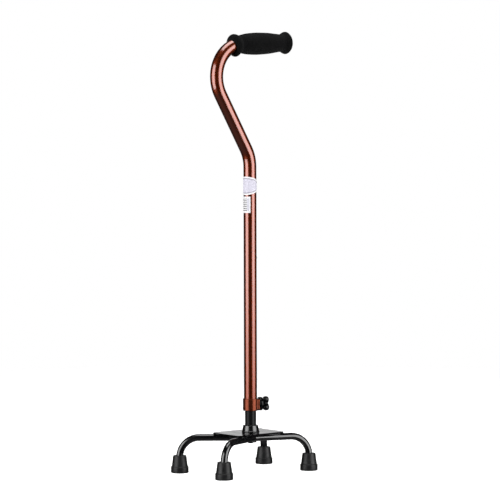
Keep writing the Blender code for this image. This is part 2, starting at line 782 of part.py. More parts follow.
def make_knob(frame):
    side, up = Vector((1, 0, 0)), Vector((0, 1, 0))
    bore = STUD_R + GAP
    rim_end = KNOB_FROM + KNOB_RIM_THICK
    round_outline = [
        (bore, STUD_END + GAP),
        (bore, KNOB_FROM),
        (KNOB_RIM_R - KNOB_EDGE, KNOB_FROM),
        (KNOB_RIM_R, KNOB_FROM + KNOB_EDGE),
        (KNOB_RIM_R, rim_end - KNOB_EDGE),
        (KNOB_RIM_R - KNOB_EDGE, rim_end),
    ]
    rings = [[Vector((0, 0, STUD_END + GAP))]]
    rings += [circle(Vector((0, 0, z)), side, up, r, KNOB_SIDES) for r, z in round_outline]
    for share, scale in KNOB_LOBE_SCALES:
        height = rim_end + share * (KNOB_END - rim_end)
        rings.append(lobed_ring(height, scale, share * KNOB_VALLEY_DROP))
    rings.append([Vector((0, 0, KNOB_END - KNOB_VALLEY_DROP - KNOB_DISH))])
    add_piece("thumb_knob", lofted(rings), MATERIALS["gloss_plastic"], frame)
    stud_from = LOWER_R + 2 * GAP + PAD_LONG
    add_piece("screw_stud", rod(STUD_R, stud_from, STUD_END), MATERIALS["zinc"], frame)


# ---------------------------------------------------------------- the cane


def make_materials():
    recipes = {
        "bronze": ((0.36, 0.085, 0.05), 0.22, 1.0, 0.5),
        "collar_bronze": ((0.42, 0.11, 0.055), 0.3, 0.8, 0.3),
        "gloss_black": ((0.006, 0.006, 0.007), 0.18, 0.0, 1.0),
        "satin_black": ((0.012, 0.012, 0.013), 0.42, 0.0, 0.2),
        "gloss_plastic": ((0.01, 0.01, 0.011), 0.3, 0.0, 0.3),
        "black_plastic": ((0.012, 0.012, 0.013), 0.5, 0.0, 0.0),
        "black_steel": ((0.02, 0.02, 0.021), 0.4, 0.8, 0.0),
        "tip_rubber": ((0.02, 0.02, 0.021), 0.75, 0.0, 0.0),
        "foam": ((0.008, 0.008, 0.008), 0.95, 0.0, 0.0),
        "nylon": ((0.72, 0.71, 0.67), 0.5, 0.0, 0.0),
        "zinc": ((0.6, 0.6, 0.58), 0.35, 1.0, 0.0),
        "brass": ((0.72, 0.5, 0.2), 0.3, 1.0, 0.0),
        "spring_steel": ((0.5, 0.5, 0.51), 0.3, 1.0, 0.0),
        "bright_steel": ((0.75, 0.74, 0.72), 0.2, 1.0, 0.0),
        "label": ((0.86, 0.85, 0.9), 0.4, 0.0, 0.0),
    }
    for name, (colour, roughness, metallic, coat) in recipes.items():
        MATERIALS[name] = make_material(name, colour, roughness, metallic, coat)


def main():
    clear_scene()
    make_materials()
    base_frame = make_frame("base_frame")
    shaft_frame = make_frame("shaft_swivel_axis", base_frame, millimetres(0, SHAFT_Y, 0))
    handle_frame = make_frame("handle_slide_axis", shaft_frame)
    button_frame = make_frame("button_axis", shaft_frame, radial_frame(0.0, BUTTON_Z))
    pad_frame = make_frame("screw_pad_axis", handle_frame, radial_frame(SCREW_ANGLE, SCREW_Z))
    knob_frame = make_frame("knob_axis", pad_frame)
    make_base(base_frame)
    make_lower_shaft(shaft_frame)
    make_button(button_frame)
    make_handle(handle_frame)
    make_screw_pad(pad_frame)
    make_knob(knob_frame)


main()
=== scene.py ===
"""The looks of an offset-handled quad walking cane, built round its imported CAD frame.

Lengths are in millimetres and become metres when a mesh or a light is made. The frame's origin
is on the floor between the four rubber tips, +X runs towards the free end of the grip, +Y
towards the wide side of the base, and +Z is up. Places and radii are read from the frame's
nodes; what a node's box can't say, such as a bend radius, is a constant here.
"""

import math

import bmesh
import bpy
from mathutils import Matrix, Vector, noise


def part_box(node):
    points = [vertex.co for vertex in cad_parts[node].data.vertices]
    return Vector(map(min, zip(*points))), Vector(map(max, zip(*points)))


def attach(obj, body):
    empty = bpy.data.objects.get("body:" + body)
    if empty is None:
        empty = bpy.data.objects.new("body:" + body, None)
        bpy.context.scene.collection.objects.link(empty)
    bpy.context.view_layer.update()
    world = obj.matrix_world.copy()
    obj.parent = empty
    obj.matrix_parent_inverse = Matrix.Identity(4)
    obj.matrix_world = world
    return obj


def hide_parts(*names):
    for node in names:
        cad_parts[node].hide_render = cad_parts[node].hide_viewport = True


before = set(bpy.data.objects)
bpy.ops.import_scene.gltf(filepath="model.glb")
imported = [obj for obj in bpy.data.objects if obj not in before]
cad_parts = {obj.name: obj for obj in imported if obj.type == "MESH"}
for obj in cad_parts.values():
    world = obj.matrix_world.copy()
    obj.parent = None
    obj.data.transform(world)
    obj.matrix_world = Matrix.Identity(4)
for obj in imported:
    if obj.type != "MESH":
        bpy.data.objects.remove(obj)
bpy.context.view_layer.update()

MM = 0.001
GAP = 0.3  # clearance between pieces that only touch
X_AXIS, Y_AXIS, Z_AXIS = Vector((1, 0, 0)), Vector((0, 1, 0)), Vector((0, 0, 1))

# Fineness of the meshes
TUBE_SIDES = 72
SMALL_SIDES = 48
HOLE_SIDES = 32
WELD_SIDES = 20
SPRING_SIDES = 24
GRIP_SIDES = 128
KNOB_SIDES = 144
ARC_STEP = math.radians(3.0)
RING_STEP = 4.7625  # between rings on the straight shaft, a quarter of the hole pitch
DRILL_END = 25.0  # how far out from the shaft axis a radial cutter reaches
PAST = 5.0  # how far other cutters reach past what they cut

# The handle tube's route, in the XZ plane through the shaft axis
LEAN = math.radians(31.3)
LEAN_VERTEX_Z = 538.0
LEAN_BEND_R = 60.0
GRIP_RISE = math.radians(3.2)
GRIP_VERTEX = (-113.1, 724.0)
GRIP_BEND_R = 56.7
TUBE_END_X = 74.0
UPPER_WALL = 1.0
HOLE_R = 3.3
HOLE_PITCH = 19.05
HOLE_COUNT = 13
UPPER_DRILL_FROM = 5.0
TUBE_PLUG_DEEP = 12.0
TUBE_PLUG_HEAD = 2.3
TUBE_PLUG_INSET = 0.2

# Foam grip outline: distance along the tube from the end of its upper bend, and radius
GRIP_OUTLINE = (
    (-20.0, 14.2), (-17.8, 17.8), (-14.5, 19.2), (-9.8, 17.3), (-5.0, 14.9), (3.0, 16.3),
    (14.0, 17.9), (34.0, 18.85), (58.0, 18.0), (74.0, 16.3), (88.0, 15.1), (94.4, 17.7),
    (98.2, 19.2), (100.9, 17.6),
)
GRIP_END = 101.3
GRIP_END_R = 15.5
GRIP_START_R = 13.4
GRIP_BORE_END = 95.6
GRIP_FOLLOW = 0.42  # share of the bend that the foam's own cross-sections turn through
GRIP_DISH = 0.5  # depth of the hollow in its end
GRIP_PLAIN_END = 0.6  # length at its end that keeps an even skin
SKIN_WAVES = ((9.0, 0.16), (1.7, 0.07))  # length and depth of the foam's unevenness

# Labels: look, start and end angle in plan in degrees, and whether it is an oval
LABELS = {
    "shaft_label_upper": ("oval_label", -323.0, -27.0, True),
    "shaft_label_lower": ("ruled_label", -225.0, -126.0, False),
}
LABEL_NEAR = 0.12  # of its two faces, above the tube
LABEL_FAR = 0.42
LABEL_COLUMNS = 72
LABEL_ROWS = 40
LABEL_POINT = 0.04  # least half height of an oval label, as a share of the whole

# Lower shaft: radii, heights and distances out from the shaft axis
LOWER_BORE_R = 8.0
LOWER_DRILL_FROM = 2.0
BOOT_BAND_R = 15.2
BOOT_BAND_HIGH = 1.9
BOOT_CONE_R = 14.5
BOOT_CONE_FROM = 2.6
BOOT_TOP_R = 12.7
BOLT_BORE_R = 3.3
PLUG_R = 7.7
PLUG_BORE_TOP = 88.0
CAP_R = 9.7
RIVET_ANGLE = math.radians(50.0)
RIVET_Z = 92.5
RIVET_R = 1.6
RIVET_HOLE_R = 1.9
RIVET_FROM = 2.3
RIVET_HEAD_R = 3.2
RIVET_CROWN_R = 2.2
BUTTON_R = 3.0
BUTTON_HOLE_R = 3.2
BUTTON_FLANGE_R = 3.9
BUTTON_FLANGE = (5.7, 6.6)
BUTTON_DOME = (12.3, 14.0)
SPRING_FRONT = 5.0
SPRING_BACK = -6.4
SPRING_BOTTOM = 342.0
SPRING_TOP = 373.0
SPRING_WIDE = 6.0
SPRING_THICK = 0.8
SPRING_ARC_STEP = math.radians(6.0)

# Leg tubes
LEG_R = 6.0
LEG_WALL = 1.2
LEG_Z = 60.0
LEG_BEND_R = 33.0
LEG_APEX_R = 25.0
LEG_BOTTOM = 8.8
OUTER_VERTEX = 3.0  # where the arms' centre lines would cross, in Y from the shaft axis
INNER_VERTEX = -8.2

# Plate, tips, bolt and weld beads
PLATE_CORNER_R = 8.0
PLATE_EDGE = 0.5
TREAD_RADII = (11.6, 8.8, 6.0, 3.2)
TREAD_DEEP = 0.9
TIP_BAND_TOP = 10.4
TIP_CONE_R = 13.75
TIP_CONE_FROM = 11.25
TIP_TOP_R = 11.3
TIP_FLOOR = 7.0
TIP_MOUTH = (0.5, 3.0)  # width and depth of the funnel at its top
DISC_BORE_R = 2.5
DISC = (7.3, 8.5)
BOLT_R = 3.0
BOLT_END_R = 2.0
BOLT_TOP = 85.0
BOLT_HEAD_R = 5.2
BOLT_HEAD_HIGH = 1.5
BOLT_CROWN_R = 3.4
SOCKET_R = 2.3
SOCKET_DEEP = 2.0
WELD_R = 1.35
WELD_DROP = 1.2  # of its centre line, below the tops of the legs
WELD_ASIDE = 3.9  # from the leg's centre line
WELD_FROM = 24.0  # from the vertex, along the arm
WELD_LONG = 23.0
WELD_RIPPLES = 11
WELD_STEPS = 72

# Thumbscrew: its angle in plan and height, and distances out from the shaft axis
SCREW_ANGLE = math.radians(-23.0)
SCREW_Z = 117.2
COLLAR_TOP = 126.8
COLLAR_R = 13.0
LUG_HALF_WIDE = 9.5
LUG_CORNER_R = 3.0
LUG_INSET = 0.4
LUG_FROM = 4.0
LUG_END = 14.0
LUG_EDGE = 1.0
LUG_BORE_R = 3.6
INSERT_R = 4.2
INSERT_BORE_R = 3.3
INSERT_FROM = 11.8
INSERT_TO = 13.9
CAST_GRAIN = 0.35  # size of the cells in which the collar's corners are blended
KNOB_FROM = LUG_END + 0.4
KNOB_RIM_R = 11.6
KNOB_RIM_THICK = 5.4
KNOB_END = 31.6
KNOB_LOBE_R = 13.3
KNOB_VALLEY_R = 6.4
KNOB_LOBES = 3
KNOB_LOBE_TURN = math.radians(-40.0)  # of the first lobe, from straight down
KNOB_VALLEY_DROP = 1.6  # how far the valleys fall short of the lobes at the end
KNOB_BORE_R = 3.25
STUD_R = 2.95
STUD_END = 27.5
THREAD_DEEP = 0.55
THREAD_PITCH = 1.0
PAD_R = 2.9
PAD_END = 2.7  # out from the lower tube

# The camera, in metres and degrees
CAMERA_PLACE = (-2.4409, -2.9468, 0.5046)
CAMERA_LOOK = (0.63964, 0.76799, -0.03263)
CAMERA_LENS = 161.3
CAMERA_ROLL = -0.16

# Each light: its angle in plan from the camera, distance, height, size and radiance, in degrees and metres
SOFTBOXES = {
    "softbox_left": (-57.5, 2.2, 0.75, (1.95, 2.4), 7.6),
    "softbox_right": (61.0, 2.2, 0.75, (1.95, 2.4), 7.6),
    "softbox_rear": (180.0, 2.6, 0.9, (2.4, 1.9), 0.72),
    "softbox_overhead": (0.0, 0.01, 2.3, (1.2, 1.2), 7.0),
}
FLAGGED = ("softbox_left", "softbox_right")  # the lights that are kept off the plate
FLOOR_RADII = (300, 1200, 3000)
FLOOR_FADE = (0.6, 2.2)  # radii in metres at which the floor starts and ends its fade


def span(node):
    """Lowest and highest corners of a CAD node, in millimetres."""
    low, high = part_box(node)
    return low / MM, high / MM


def middle(node):
    """Centre of a CAD node's box, in millimetres."""
    return [(low + high) / 2 for low, high in zip(*span(node))]


def tube_radius(node):
    """Half the depth of a CAD node's box, in millimetres."""
    low, high = span(node)
    return (high.y - low.y) / 2


SHAFT_Y = middle("lower_tube")[1]
UPPER_R = tube_radius("upper_tube")
LOWER_R = tube_radius("lower_tube")
FOOT_X, FOOT_Y, _ = middle("foot_tip_outer_right")
BUTTON_Z = middle("snap_button")[2]
SHAFT = Matrix.Translation((0, SHAFT_Y * MM, 0))


# Shapes


def circle(centre, side, up, radius, sides):
    """Points round a centre, from the side direction towards the up direction."""
    turns = [2 * math.pi * k / sides for k in range(sides)]
    return [centre + radius * (math.cos(t) * side + math.sin(t) * up) for t in turns]


def join_rings(bm, ring, following):
    """Faces between two rings, either of which may be a single point."""
    if len(ring) == len(following) == 1:
        return
    count = max(len(ring), len(following))
    for k in range(count):
        after = (k + 1) % count
        corners = [ring[k % len(ring)], ring[after % len(ring)]]
        corners += [following[after % len(following)], following[k % len(following)]]
        bm.faces.new(list(dict.fromkeys(corners)))


def lofted(rings):
    """A closed body through rings of points, the last of them joined to the first."""
    bm = bmesh.new()
    loops = [[bm.verts.new(point) for point in ring] for ring in rings]
    for loop, following in zip(loops, loops[1:] + loops[:1]):
        join_rings(bm, loop, following)
    return bm


def turned(outline, sides):
    """A closed outline of (radius, height) turned about Z."""
    rings = []
    for radius, height in outline:
        centre = Z_AXIS * height
        rings.append(circle(centre, X_AXIS, Y_AXIS, radius, sides) if radius > 0 else [centre])
    return lofted(rings)


def filleted(corners, steps=5):
    """A closed outline in which each corner with a third number is rounded to that radius."""
    outline = []
    for k, corner in enumerate(corners):
        here = Vector(corner[:2])
        if len(corner) == 2:
            outline.append(tuple(here))
            continue
        radius = corner[2]
        before = (Vector(corners[k - 1][:2]) - here).normalized()
        after = (Vector(corners[(k + 1) % len(corners)][:2]) - here).normalized()
        half = before.angle(after) / 2
        centre = here + (before + after).normalized() * radius / math.sin(half)
        start = (here + before * radius / math.tan(half) - centre).normalized()
        end = (here + after * radius / math.tan(half) - centre).normalized()
        outline += [tuple(centre + start.slerp(end, s / steps) * radius) for s in range(steps + 1)]
    return outline


def sleeve(bore, radius, low, high, sides, fillet=0.3):
    """A ring or tube along Z with rounded outer corners."""
    corners = [(bore, low), (radius, low, fillet), (radius, high, fillet), (bore, high)]
    return turned(filleted(corners), sides)


def rod(radius, low, high, sides=SMALL_SIDES):
    return turned([(0, low), (radius, low), (radius, high), (0, high)], sides)


def threaded(radius, depth, pitch, low, high, sides=32, per_turn=10):
    """A rod along Z with a helical thread that fades out at both ends."""
    count = math.ceil((high - low) / pitch * per_turn)
    rings = [[Vector((0, 0, low))]]
    for k in range(count + 1):
        height = low + (high - low) * k / count
        fade = min(1.0, (height - low) / pitch, (high - height) / pitch)
        ring = []
        for s in range(sides):
            phase = (height / pitch - s / sides) % 1
            groove = depth * (1 - fade * (1 - abs(2 * phase - 1)))
            turn = 2 * math.pi * s / sides
            ring.append(Vector((math.cos(turn), math.sin(turn), 0)) * (radius - groove))
            ring[-1].z = height
        rings.append(ring)
    return lofted([*rings, [Vector((0, 0, high))]])


def rounded_path(corners, radii, arc_step, straight_step=None):
    """Points and directions along straight runs joined by arcs, one radius per inner corner."""
    points, directions = [corners[0]], [(corners[1] - corners[0]).normalized()]
    for before, corner, after, radius in zip(corners, corners[1:], corners[2:], radii):
        inward = (corner - before).normalized()
        outward = (after - corner).normalized()
        turn = inward.angle(outward)
        axis = inward.cross(outward).normalized()
        start = corner - inward * radius * math.tan(turn / 2)
        add_straight(points, directions, start, straight_step)
        centre = start + axis.cross(inward) * radius
        steps = max(2, round(turn / arc_step))
        for k in range(steps + 1):
            rotation = Matrix.Rotation(turn * k / steps, 3, axis)
            points.append(centre + rotation @ (start - centre))
            directions.append(rotation @ inward)
    add_straight(points, directions, corners[-1], straight_step)
    points.append(corners[-1])
    directions.append((corners[-1] - corners[-2]).normalized())
    return points, directions


def add_straight(points, directions, end, step):
    """Points between the last point of a path and the end of its straight run."""
    run = end - points[-1]
    count = math.floor(run.length / step) if step else 0
    start = points[-1].copy()
    for k in range(1, count):
        points.append(start + run * k / count)
        directions.append(run.normalized())


def carried_sides(directions, first_side):
    """A side direction for each point of a path, turned with it and never twisted."""
    sides = [first_side.normalized()]
    for before, after in zip(directions, directions[1:]):
        sides.append(before.rotation_difference(after) @ sides[-1])
    return sides


def bent_tube(points, directions, first_side, radius, bore, sides):
    """An open-ended tube along a path, with its own coordinates kept for the drawn grain."""
    across = carried_sides(directions, first_side)
    places = list(zip(points, directions, across))
    outer = [circle(p, s, d.cross(s), radius, sides) for p, d, s in places]
    inner = [circle(p, s, d.cross(s), bore, sides) for p, d, s in reversed(places)]
    bm = lofted(outer + inner)
    travelled = [0.0]
    for before, after in zip(points, points[1:]):
        travelled.append(travelled[-1] + (after - before).length)
    travelled += travelled[::-1]
    layer = bm.verts.layers.float_vector.new("drawn")
    for k, vert in enumerate(bm.verts):
        turn = 2 * math.pi * (k % sides) / sides
        along = travelled[k // sides]
        vert[layer] = Vector((math.cos(turn) * radius, math.sin(turn) * radius, along)) * MM
    return bm


def smooth_outline(points, per_span):
    """Points on a Catmull-Rom curve through an outline."""
    known = [Vector(p) for p in points]
    known = [2 * known[0] - known[1], *known, 2 * known[-1] - known[-2]]
    curve = []
    for a, b, c, d in zip(known, known[1:], known[2:], known[3:]):
        for k in range(per_span):
            t = k / per_span
            bend = (2 * a - 5 * b + 4 * c - d) * t**2
            twist = (3 * b - a - 3 * c + d) * t**3
            curve.append((2 * b + (c - a) * t + bend + twist) / 2)
    return [*curve, known[-2]]


def radial_place(angle, z):
    """A place on the shaft axis whose Z points outwards at an angle in plan."""
    turn = Matrix.Rotation(angle, 4, "Z") @ Matrix.Rotation(math.pi / 2, 4, "Y")
    return Matrix.Translation((0, SHAFT_Y * MM, z * MM)) @ turn


# Pieces


def make_object(name, bm, place=None, smooth=True):
    """An object in metres, its vertices already in the frame's own coordinates."""
    bmesh.ops.recalc_face_normals(bm, faces=bm.faces)
    if bm.calc_volume(signed=True) < 0:
        bmesh.ops.reverse_faces(bm, faces=bm.faces)
    bmesh.ops.scale(bm, vec=(MM, MM, MM), verts=bm.verts)
    mesh = bpy.data.meshes.new(name)
    bm.to_mesh(mesh)
    bm.free()
    if place:
        mesh.transform(place)
    if smooth:
        mesh.shade_smooth()
        mesh.set_sharp_from_angle(angle=math.radians(40.0))
    made = bpy.data.objects.new(name, mesh)
    bpy.context.scene.collection.objects.link(made)
    return made


def add_piece(name, bm, look, body, place=None):
    """A visible piece that rides on a body. A look is a material and the name of its slot; the slot name
    is not used.
    """
    material, slot = look
    piece = make_object(name, bm, place)
    piece.data.materials.append(material)
    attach(piece, body)
    return piece


def add_fine(node, bm, look, body, place=SHAFT):
    """The finer piece that stands for a CAD node."""
    piece = add_piece(f"{node}_fine", bm, look, body, place)
    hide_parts(node)
    return piece


def add_turned(node, corners, look, body, place=SHAFT, sides=TUBE_SIDES):
    """The finer piece for a CAD node that is round about its place's Z."""
    return add_fine(node, turned(filleted(corners), sides), look, body, place)


def cut(piece, bm, place=None, operation="DIFFERENCE"):
    """A Boolean with a body that isn't shown."""
    helper = make_object(f"helper_{piece.name}_{len(piece.modifiers)}", bm, place, smooth=False)
    helper.hide_render = True
    helper.hide_viewport = True
    boolean = piece.modifiers.new(helper.name, "BOOLEAN")
    boolean.operation = operation
    boolean.solver = "EXACT"
    boolean.object = helper


def drill(piece, radius, start, angle, z):
    """A round hole outwards from a distance from the shaft axis, at an angle in plan."""
    cut(piece, rod(radius, start, DRILL_END, HOLE_SIDES), radial_place(angle, z))


def apply_modifiers(piece):
    """Fixes the evaluated mesh as the piece's own and drops the helpers that made it."""
    graph = bpy.context.evaluated_depsgraph_get()
    fixed = bpy.data.meshes.new_from_object(piece.evaluated_get(graph), depsgraph=graph)
    helpers = [m.object for m in piece.modifiers if m.type == "BOOLEAN"]
    piece.modifiers.clear()
    piece.data = fixed
    for helper in helpers:
        bpy.data.objects.remove(helper, do_unlink=True)


# Materials


def new_material(name, roughness, metallic=0.0, sockets=None):
    material = bpy.data.materials.new(name)
    material.use_nodes = True
    fill_shader(material, {"Roughness": roughness, "Metallic": metallic, **(sockets or {})})
    return material


def fill(owner, socket, value):
    """Links an input to a node's output, or sets it to a value."""
    if isinstance(value, bpy.types.NodeSocket):
        owner.node_tree.links.new(value, socket)
    else:
        socket.default_value = value


def add_node(owner, kind, inputs=None, **settings):
    """A node of a material or world, with its inputs filled by name or index."""
    node = owner.node_tree.nodes.new(kind)
    for key, value in settings.items():
        setattr(node, key, value)
    for key, value in (inputs or {}).items():
        fill(owner, node.inputs[key], value)
    return node


def fill_shader(material, inputs):
    for key, value in inputs.items():
        fill(material, material.node_tree.nodes["Principled BSDF"].inputs[key], value)


def coordinates(material, scale=(1.0, 1.0, 1.0), attribute=None):
    """Object coordinates, or a stored attribute, stretched by a scale on each axis."""
    if attribute:
        source = add_node(material, "ShaderNodeAttribute", attribute_name=attribute).outputs["Vector"]
    else:
        source = add_node(material, "ShaderNodeTexCoord").outputs["Object"]
    return add_node(material, "ShaderNodeMapping", {"Vector": source, "Scale": scale}).outputs["Vector"]


def noise_of(material, scale, detail=3.0, attribute=None):
    """Noise from 0 to 1 whose grains are 1 / scale metres long on each axis."""
    scale = scale if isinstance(scale, tuple) else (scale,) * 3
    inputs = {"Vector": coordinates(material, scale, attribute), "Scale": 1.0, "Detail": detail}
    return add_node(material, "ShaderNodeTexNoise", inputs).outputs["Fac"]


def cells_of(material, scale):
    """Distance to the nearest cell centre, for grains and pores."""
    inputs = {"Vector": coordinates(material, (scale,) * 3), "Scale": 1.0}
    return add_node(material, "ShaderNodeTexVoronoi", inputs).outputs["Distance"]


def between(owner, factor, low, high, start=0.3, end=0.7):
    """A number from low to high as the factor goes from start to end."""
    inputs = {"Value": factor, "From Min": start, "From Max": end, "To Min": low, "To Max": high}
    return add_node(owner, "ShaderNodeMapRange", inputs).outputs["Result"]


def part_of(owner, vector, axis):
    """One coordinate of a vector."""
    return add_node(owner, "ShaderNodeSeparateXYZ", {"Vector": vector}).outputs[axis]


def multiplied(material, first, second):
    """The product of two numbers, kept between 0 and 1."""
    settings = {"operation": "MULTIPLY", "use_clamp": True}
    return add_node(material, "ShaderNodeMath", {0: first, 1: second}, **settings).outputs["Value"]


def ramp(material, factor, first, second, start=0.3, end=0.7):
    """A colour that goes from the first to the second as the factor goes from start to end."""
    node = add_node(material, "ShaderNodeValToRGB", {"Fac": factor})
    for stop, position, colour in zip(node.color_ramp.elements, (start, end), (first, second)):
        stop.position = position
        stop.color = (*colour, 1.0)
    return node.outputs["Color"]


def mixed(material, factor, first, second):
    """A blend of two colours, each of them a socket or a fixed colour."""
    first, second = ((*c, 1.0) if isinstance(c, tuple) else c for c in (first, second))
    inputs = {"Factor": factor, "A": first, "B": second}
    return add_node(material, "ShaderNodeMix", inputs, data_type="RGBA").outputs["Result"]


def show_mix(owner, factor, first, second, output):
    """Shows a blend of two shaders."""
    mix = add_node(owner, "ShaderNodeMixShader", {"Fac": factor, 1: first, 2: second})
    fill(owner, owner.node_tree.nodes[output].inputs["Surface"], mix.outputs["Shader"])


def finished(material, colour, roughness, *bumps):
    """A material given its colour, its roughness as for between, and bumps of (height, metres)."""
    normal = None
    for height, depth in bumps:
        inputs = {"Height": height, "Distance": depth, "Strength": 1.0}
        if normal:
            inputs["Normal"] = normal
        normal = add_node(material, "ShaderNodeBump", inputs).outputs["Normal"]
    rough = between(material, *roughness)
    fill_shader(material, {"Base Color": colour, "Roughness": rough, "Normal": normal})
    return material


def worn_edges(material, start, end):
    """From 0 on flat and hollow places to 1 on sharp outer edges."""
    pointiness = add_node(material, "ShaderNodeNewGeometry").outputs["Pointiness"]
    edge = between(material, pointiness, 0.0, 1.0, start, end)
    return multiplied(material, edge, between(material, noise_of(material, 180.0), 0.25, 1.0))


def bronze_material():
    """Bright-dipped, anodised tube with a faint drawn grain, its lacquer thinner near the foot."""
    material = new_material("bronze_anodised", 0.38, 1.0, {"Coat Roughness": 0.13, "Coat IOR": 1.55})
    grain = noise_of(material, (420.0, 420.0, 4.0), 3.0, "drawn")
    clouds = noise_of(material, (45.0, 45.0, 14.0), 3.0, "drawn")
    colour = ramp(material, clouds, (0.088, 0.0105, 0.001), (0.104, 0.0145, 0.0022))
    streaked = mixed(material, between(material, grain, 0.0, 0.3), colour, (0.11, 0.018, 0.004))
    along = part_of(material, coordinates(material, attribute="drawn"), "Z")
    fill_shader(material, {"Coat Weight": between(material, along, 0.38, 1.0, 0.02, 0.22)})
    return finished(material, streaked, (grain, 0.36, 0.42), (grain, 0.0000015))


def collar_material():
    """Cast collar in a rougher, more orange bronze finish."""
    material = new_material("collar_bronze", 0.3, 0.82)
    clouds = noise_of(material, 140.0)
    grit = noise_of(material, 2600.0, 2.0)
    colour = ramp(material, clouds, (0.066, 0.0115, 0.003), (0.084, 0.015, 0.004))
    edged = mixed(material, worn_edges(material, 0.53, 0.62), colour, (0.13, 0.035, 0.015))
    return finished(material, edged, (clouds, 0.26, 0.34), (grit, 0.00002), (clouds, 0.00006))


def enamel_material():
    """Gloss black stoved enamel with orange peel."""
    sockets = {"Coat Weight": 0.5, "Coat Roughness": 0.04, "Specular IOR Level": 0.25}
    material = new_material("black_enamel", 0.16, 0.0, sockets)
    dust = noise_of(material, 60.0, 4.0)
    colour = ramp(material, dust, (0.0018, 0.0018, 0.002), (0.0042, 0.0042, 0.0046), 0.35, 0.75)
    edged = mixed(material, worn_edges(material, 0.56, 0.68), colour, (0.05, 0.05, 0.052))
    peel = noise_of(material, 420.0, 2.0)
    return finished(material, edged, (dust, 0.12, 0.24), (peel, 0.00003))


def satin_tube_material():
    """Black anodised tube, rubbed lengthwise where it slides."""
    material = new_material("lower_tube_black", 0.36, 0.0, {"Specular IOR Level": 0.075})
    grain = noise_of(material, (500.0, 500.0, 5.0), 4.0)
    rubs = noise_of(material, (260.0, 260.0, 3.0))
    colour = ramp(material, rubs, (0.0018, 0.0018, 0.002), (0.006, 0.006, 0.0064), 0.45, 0.8)
    return finished(material, colour, (grain, 0.28, 0.42), (grain, 0.000006))


def moulded_material(name, tone, low, high, sockets=None):
    """Black moulded plastic with a fine spark texture."""
    material = new_material(name, (low + high) / 2, 0.0, sockets)
    spark = noise_of(material, 3200.0, 2.0)
    clouds = noise_of(material, 120.0)
    dark, light, worn = (tuple(share * part for part in tone) for share in (0.75, 1.35, 4))
    colour = ramp(material, clouds, dark, light)
    edged = mixed(material, worn_edges(material, 0.54, 0.66), colour, worn)
    return finished(material, edged, (clouds, low, high), (spark, 0.00002))


def rubber_material():
    """Matte black rubber, dusty near the floor."""
    material = new_material("tip_rubber", 0.42, 0.0, {"Specular IOR Level": 0.16})
    grain = noise_of(material, 2400.0)
    clouds = noise_of(material, 110.0, 4.0)
    colour = ramp(material, clouds, (0.0035, 0.0035, 0.0037), (0.007, 0.007, 0.0073))
    low_down = between(material, part_of(material, coordinates(material), "Z"), 1.0, 0.0, 0.0, 0.006)
    dust = multiplied(material, low_down, between(material, noise_of(material, 380.0), 0.0, 0.7))
    dusty = mixed(material, dust, colour, (0.014, 0.0135, 0.013))
    return finished(material, dusty, (clouds, 0.34, 0.46), (grain, 0.00003))


def foam_material():
    """Closed-cell foam with a pebbled skin, with painted shade in the grooves between the pebbles."""
    material = new_material("grip_foam", 0.95, 0.0, {"Sheen Weight": 0.015, "Specular IOR Level": 0.06})
    pebbles = cells_of(material, 950.0)
    pores = noise_of(material, 2600.0)
    clouds = between(material, noise_of(material, 90.0), 0.0, 0.5)
    # Painted shade: the colour darkens from each pebble's middle to the grooves between pebbles
    tone = ramp(material, pebbles, (0.002, 0.002, 0.0021), (0.0005, 0.0005, 0.0006), 0.1, 0.7)
    cloudy_groove_shaded = mixed(material, clouds, tone, (0.0026, 0.0026, 0.0027))
    raised = between(material, pebbles, 1.0, 0.0, 0.0, 0.8)
    return finished(material, cloudy_groove_shaded, (pores, 0.85, 1.0), (raised, 0.00028), (pores, 0.00012))


def metal_material(name, light, dark, low, high, metallic=1.0):
    """Plain metal with turning marks and a slight tarnish."""
    material = new_material(name, (low + high) / 2, metallic)
    marks = noise_of(material, (180.0, 180.0, 4200.0))
    colour = ramp(material, noise_of(material, 260.0, 4.0), dark, light)
    return finished(material, colour, (marks, low, high), (marks, 0.00001))


def nylon_material():
    material = new_material("nylon", 0.5, 0.0, {"Subsurface Weight": 0.1, "Subsurface Scale": 0.002})
    clouds = noise_of(material, 150.0)
    grain = noise_of(material, 2800.0, 2.0)
    colour = ramp(material, clouds, (0.62, 0.61, 0.56), (0.76, 0.75, 0.7))
    return finished(material, colour, (clouds, 0.42, 0.56), (grain, 0.00003))


def printed_film(name, printed):
    """White paper label with a printed colour worked out from its own coordinates."""
    material = new_material(name, 0.5, 0.0, {"Specular IOR Level": 0.25})
    place = add_node(material, "ShaderNodeAttribute", attribute_name="label_place").outputs["Vector"]
    fibres = noise_of(material, 900.0, 4.0)
    age = between(material, fibres, 0.0, 0.06)
    aged = mixed(material, age, printed(material, place), (0.3, 0.295, 0.31))
    return finished(material, aged, (fibres, 0.45, 0.58), (fibres, 0.000004))


def oval_print(material, place):
    """A plain lavender field inside a white border, with a thin grey ring between them."""
    white, field, ring = (0.45, 0.445, 0.46), (0.345, 0.335, 0.39), (0.17, 0.165, 0.2)
    inside = part_of(material, place, "Z")
    bordered = mixed(material, between(material, inside, 0.0, 1.0, 0.15, 0.17), white, ring)
    return mixed(material, between(material, inside, 0.0, 1.0, 0.25, 0.27), bordered, field)


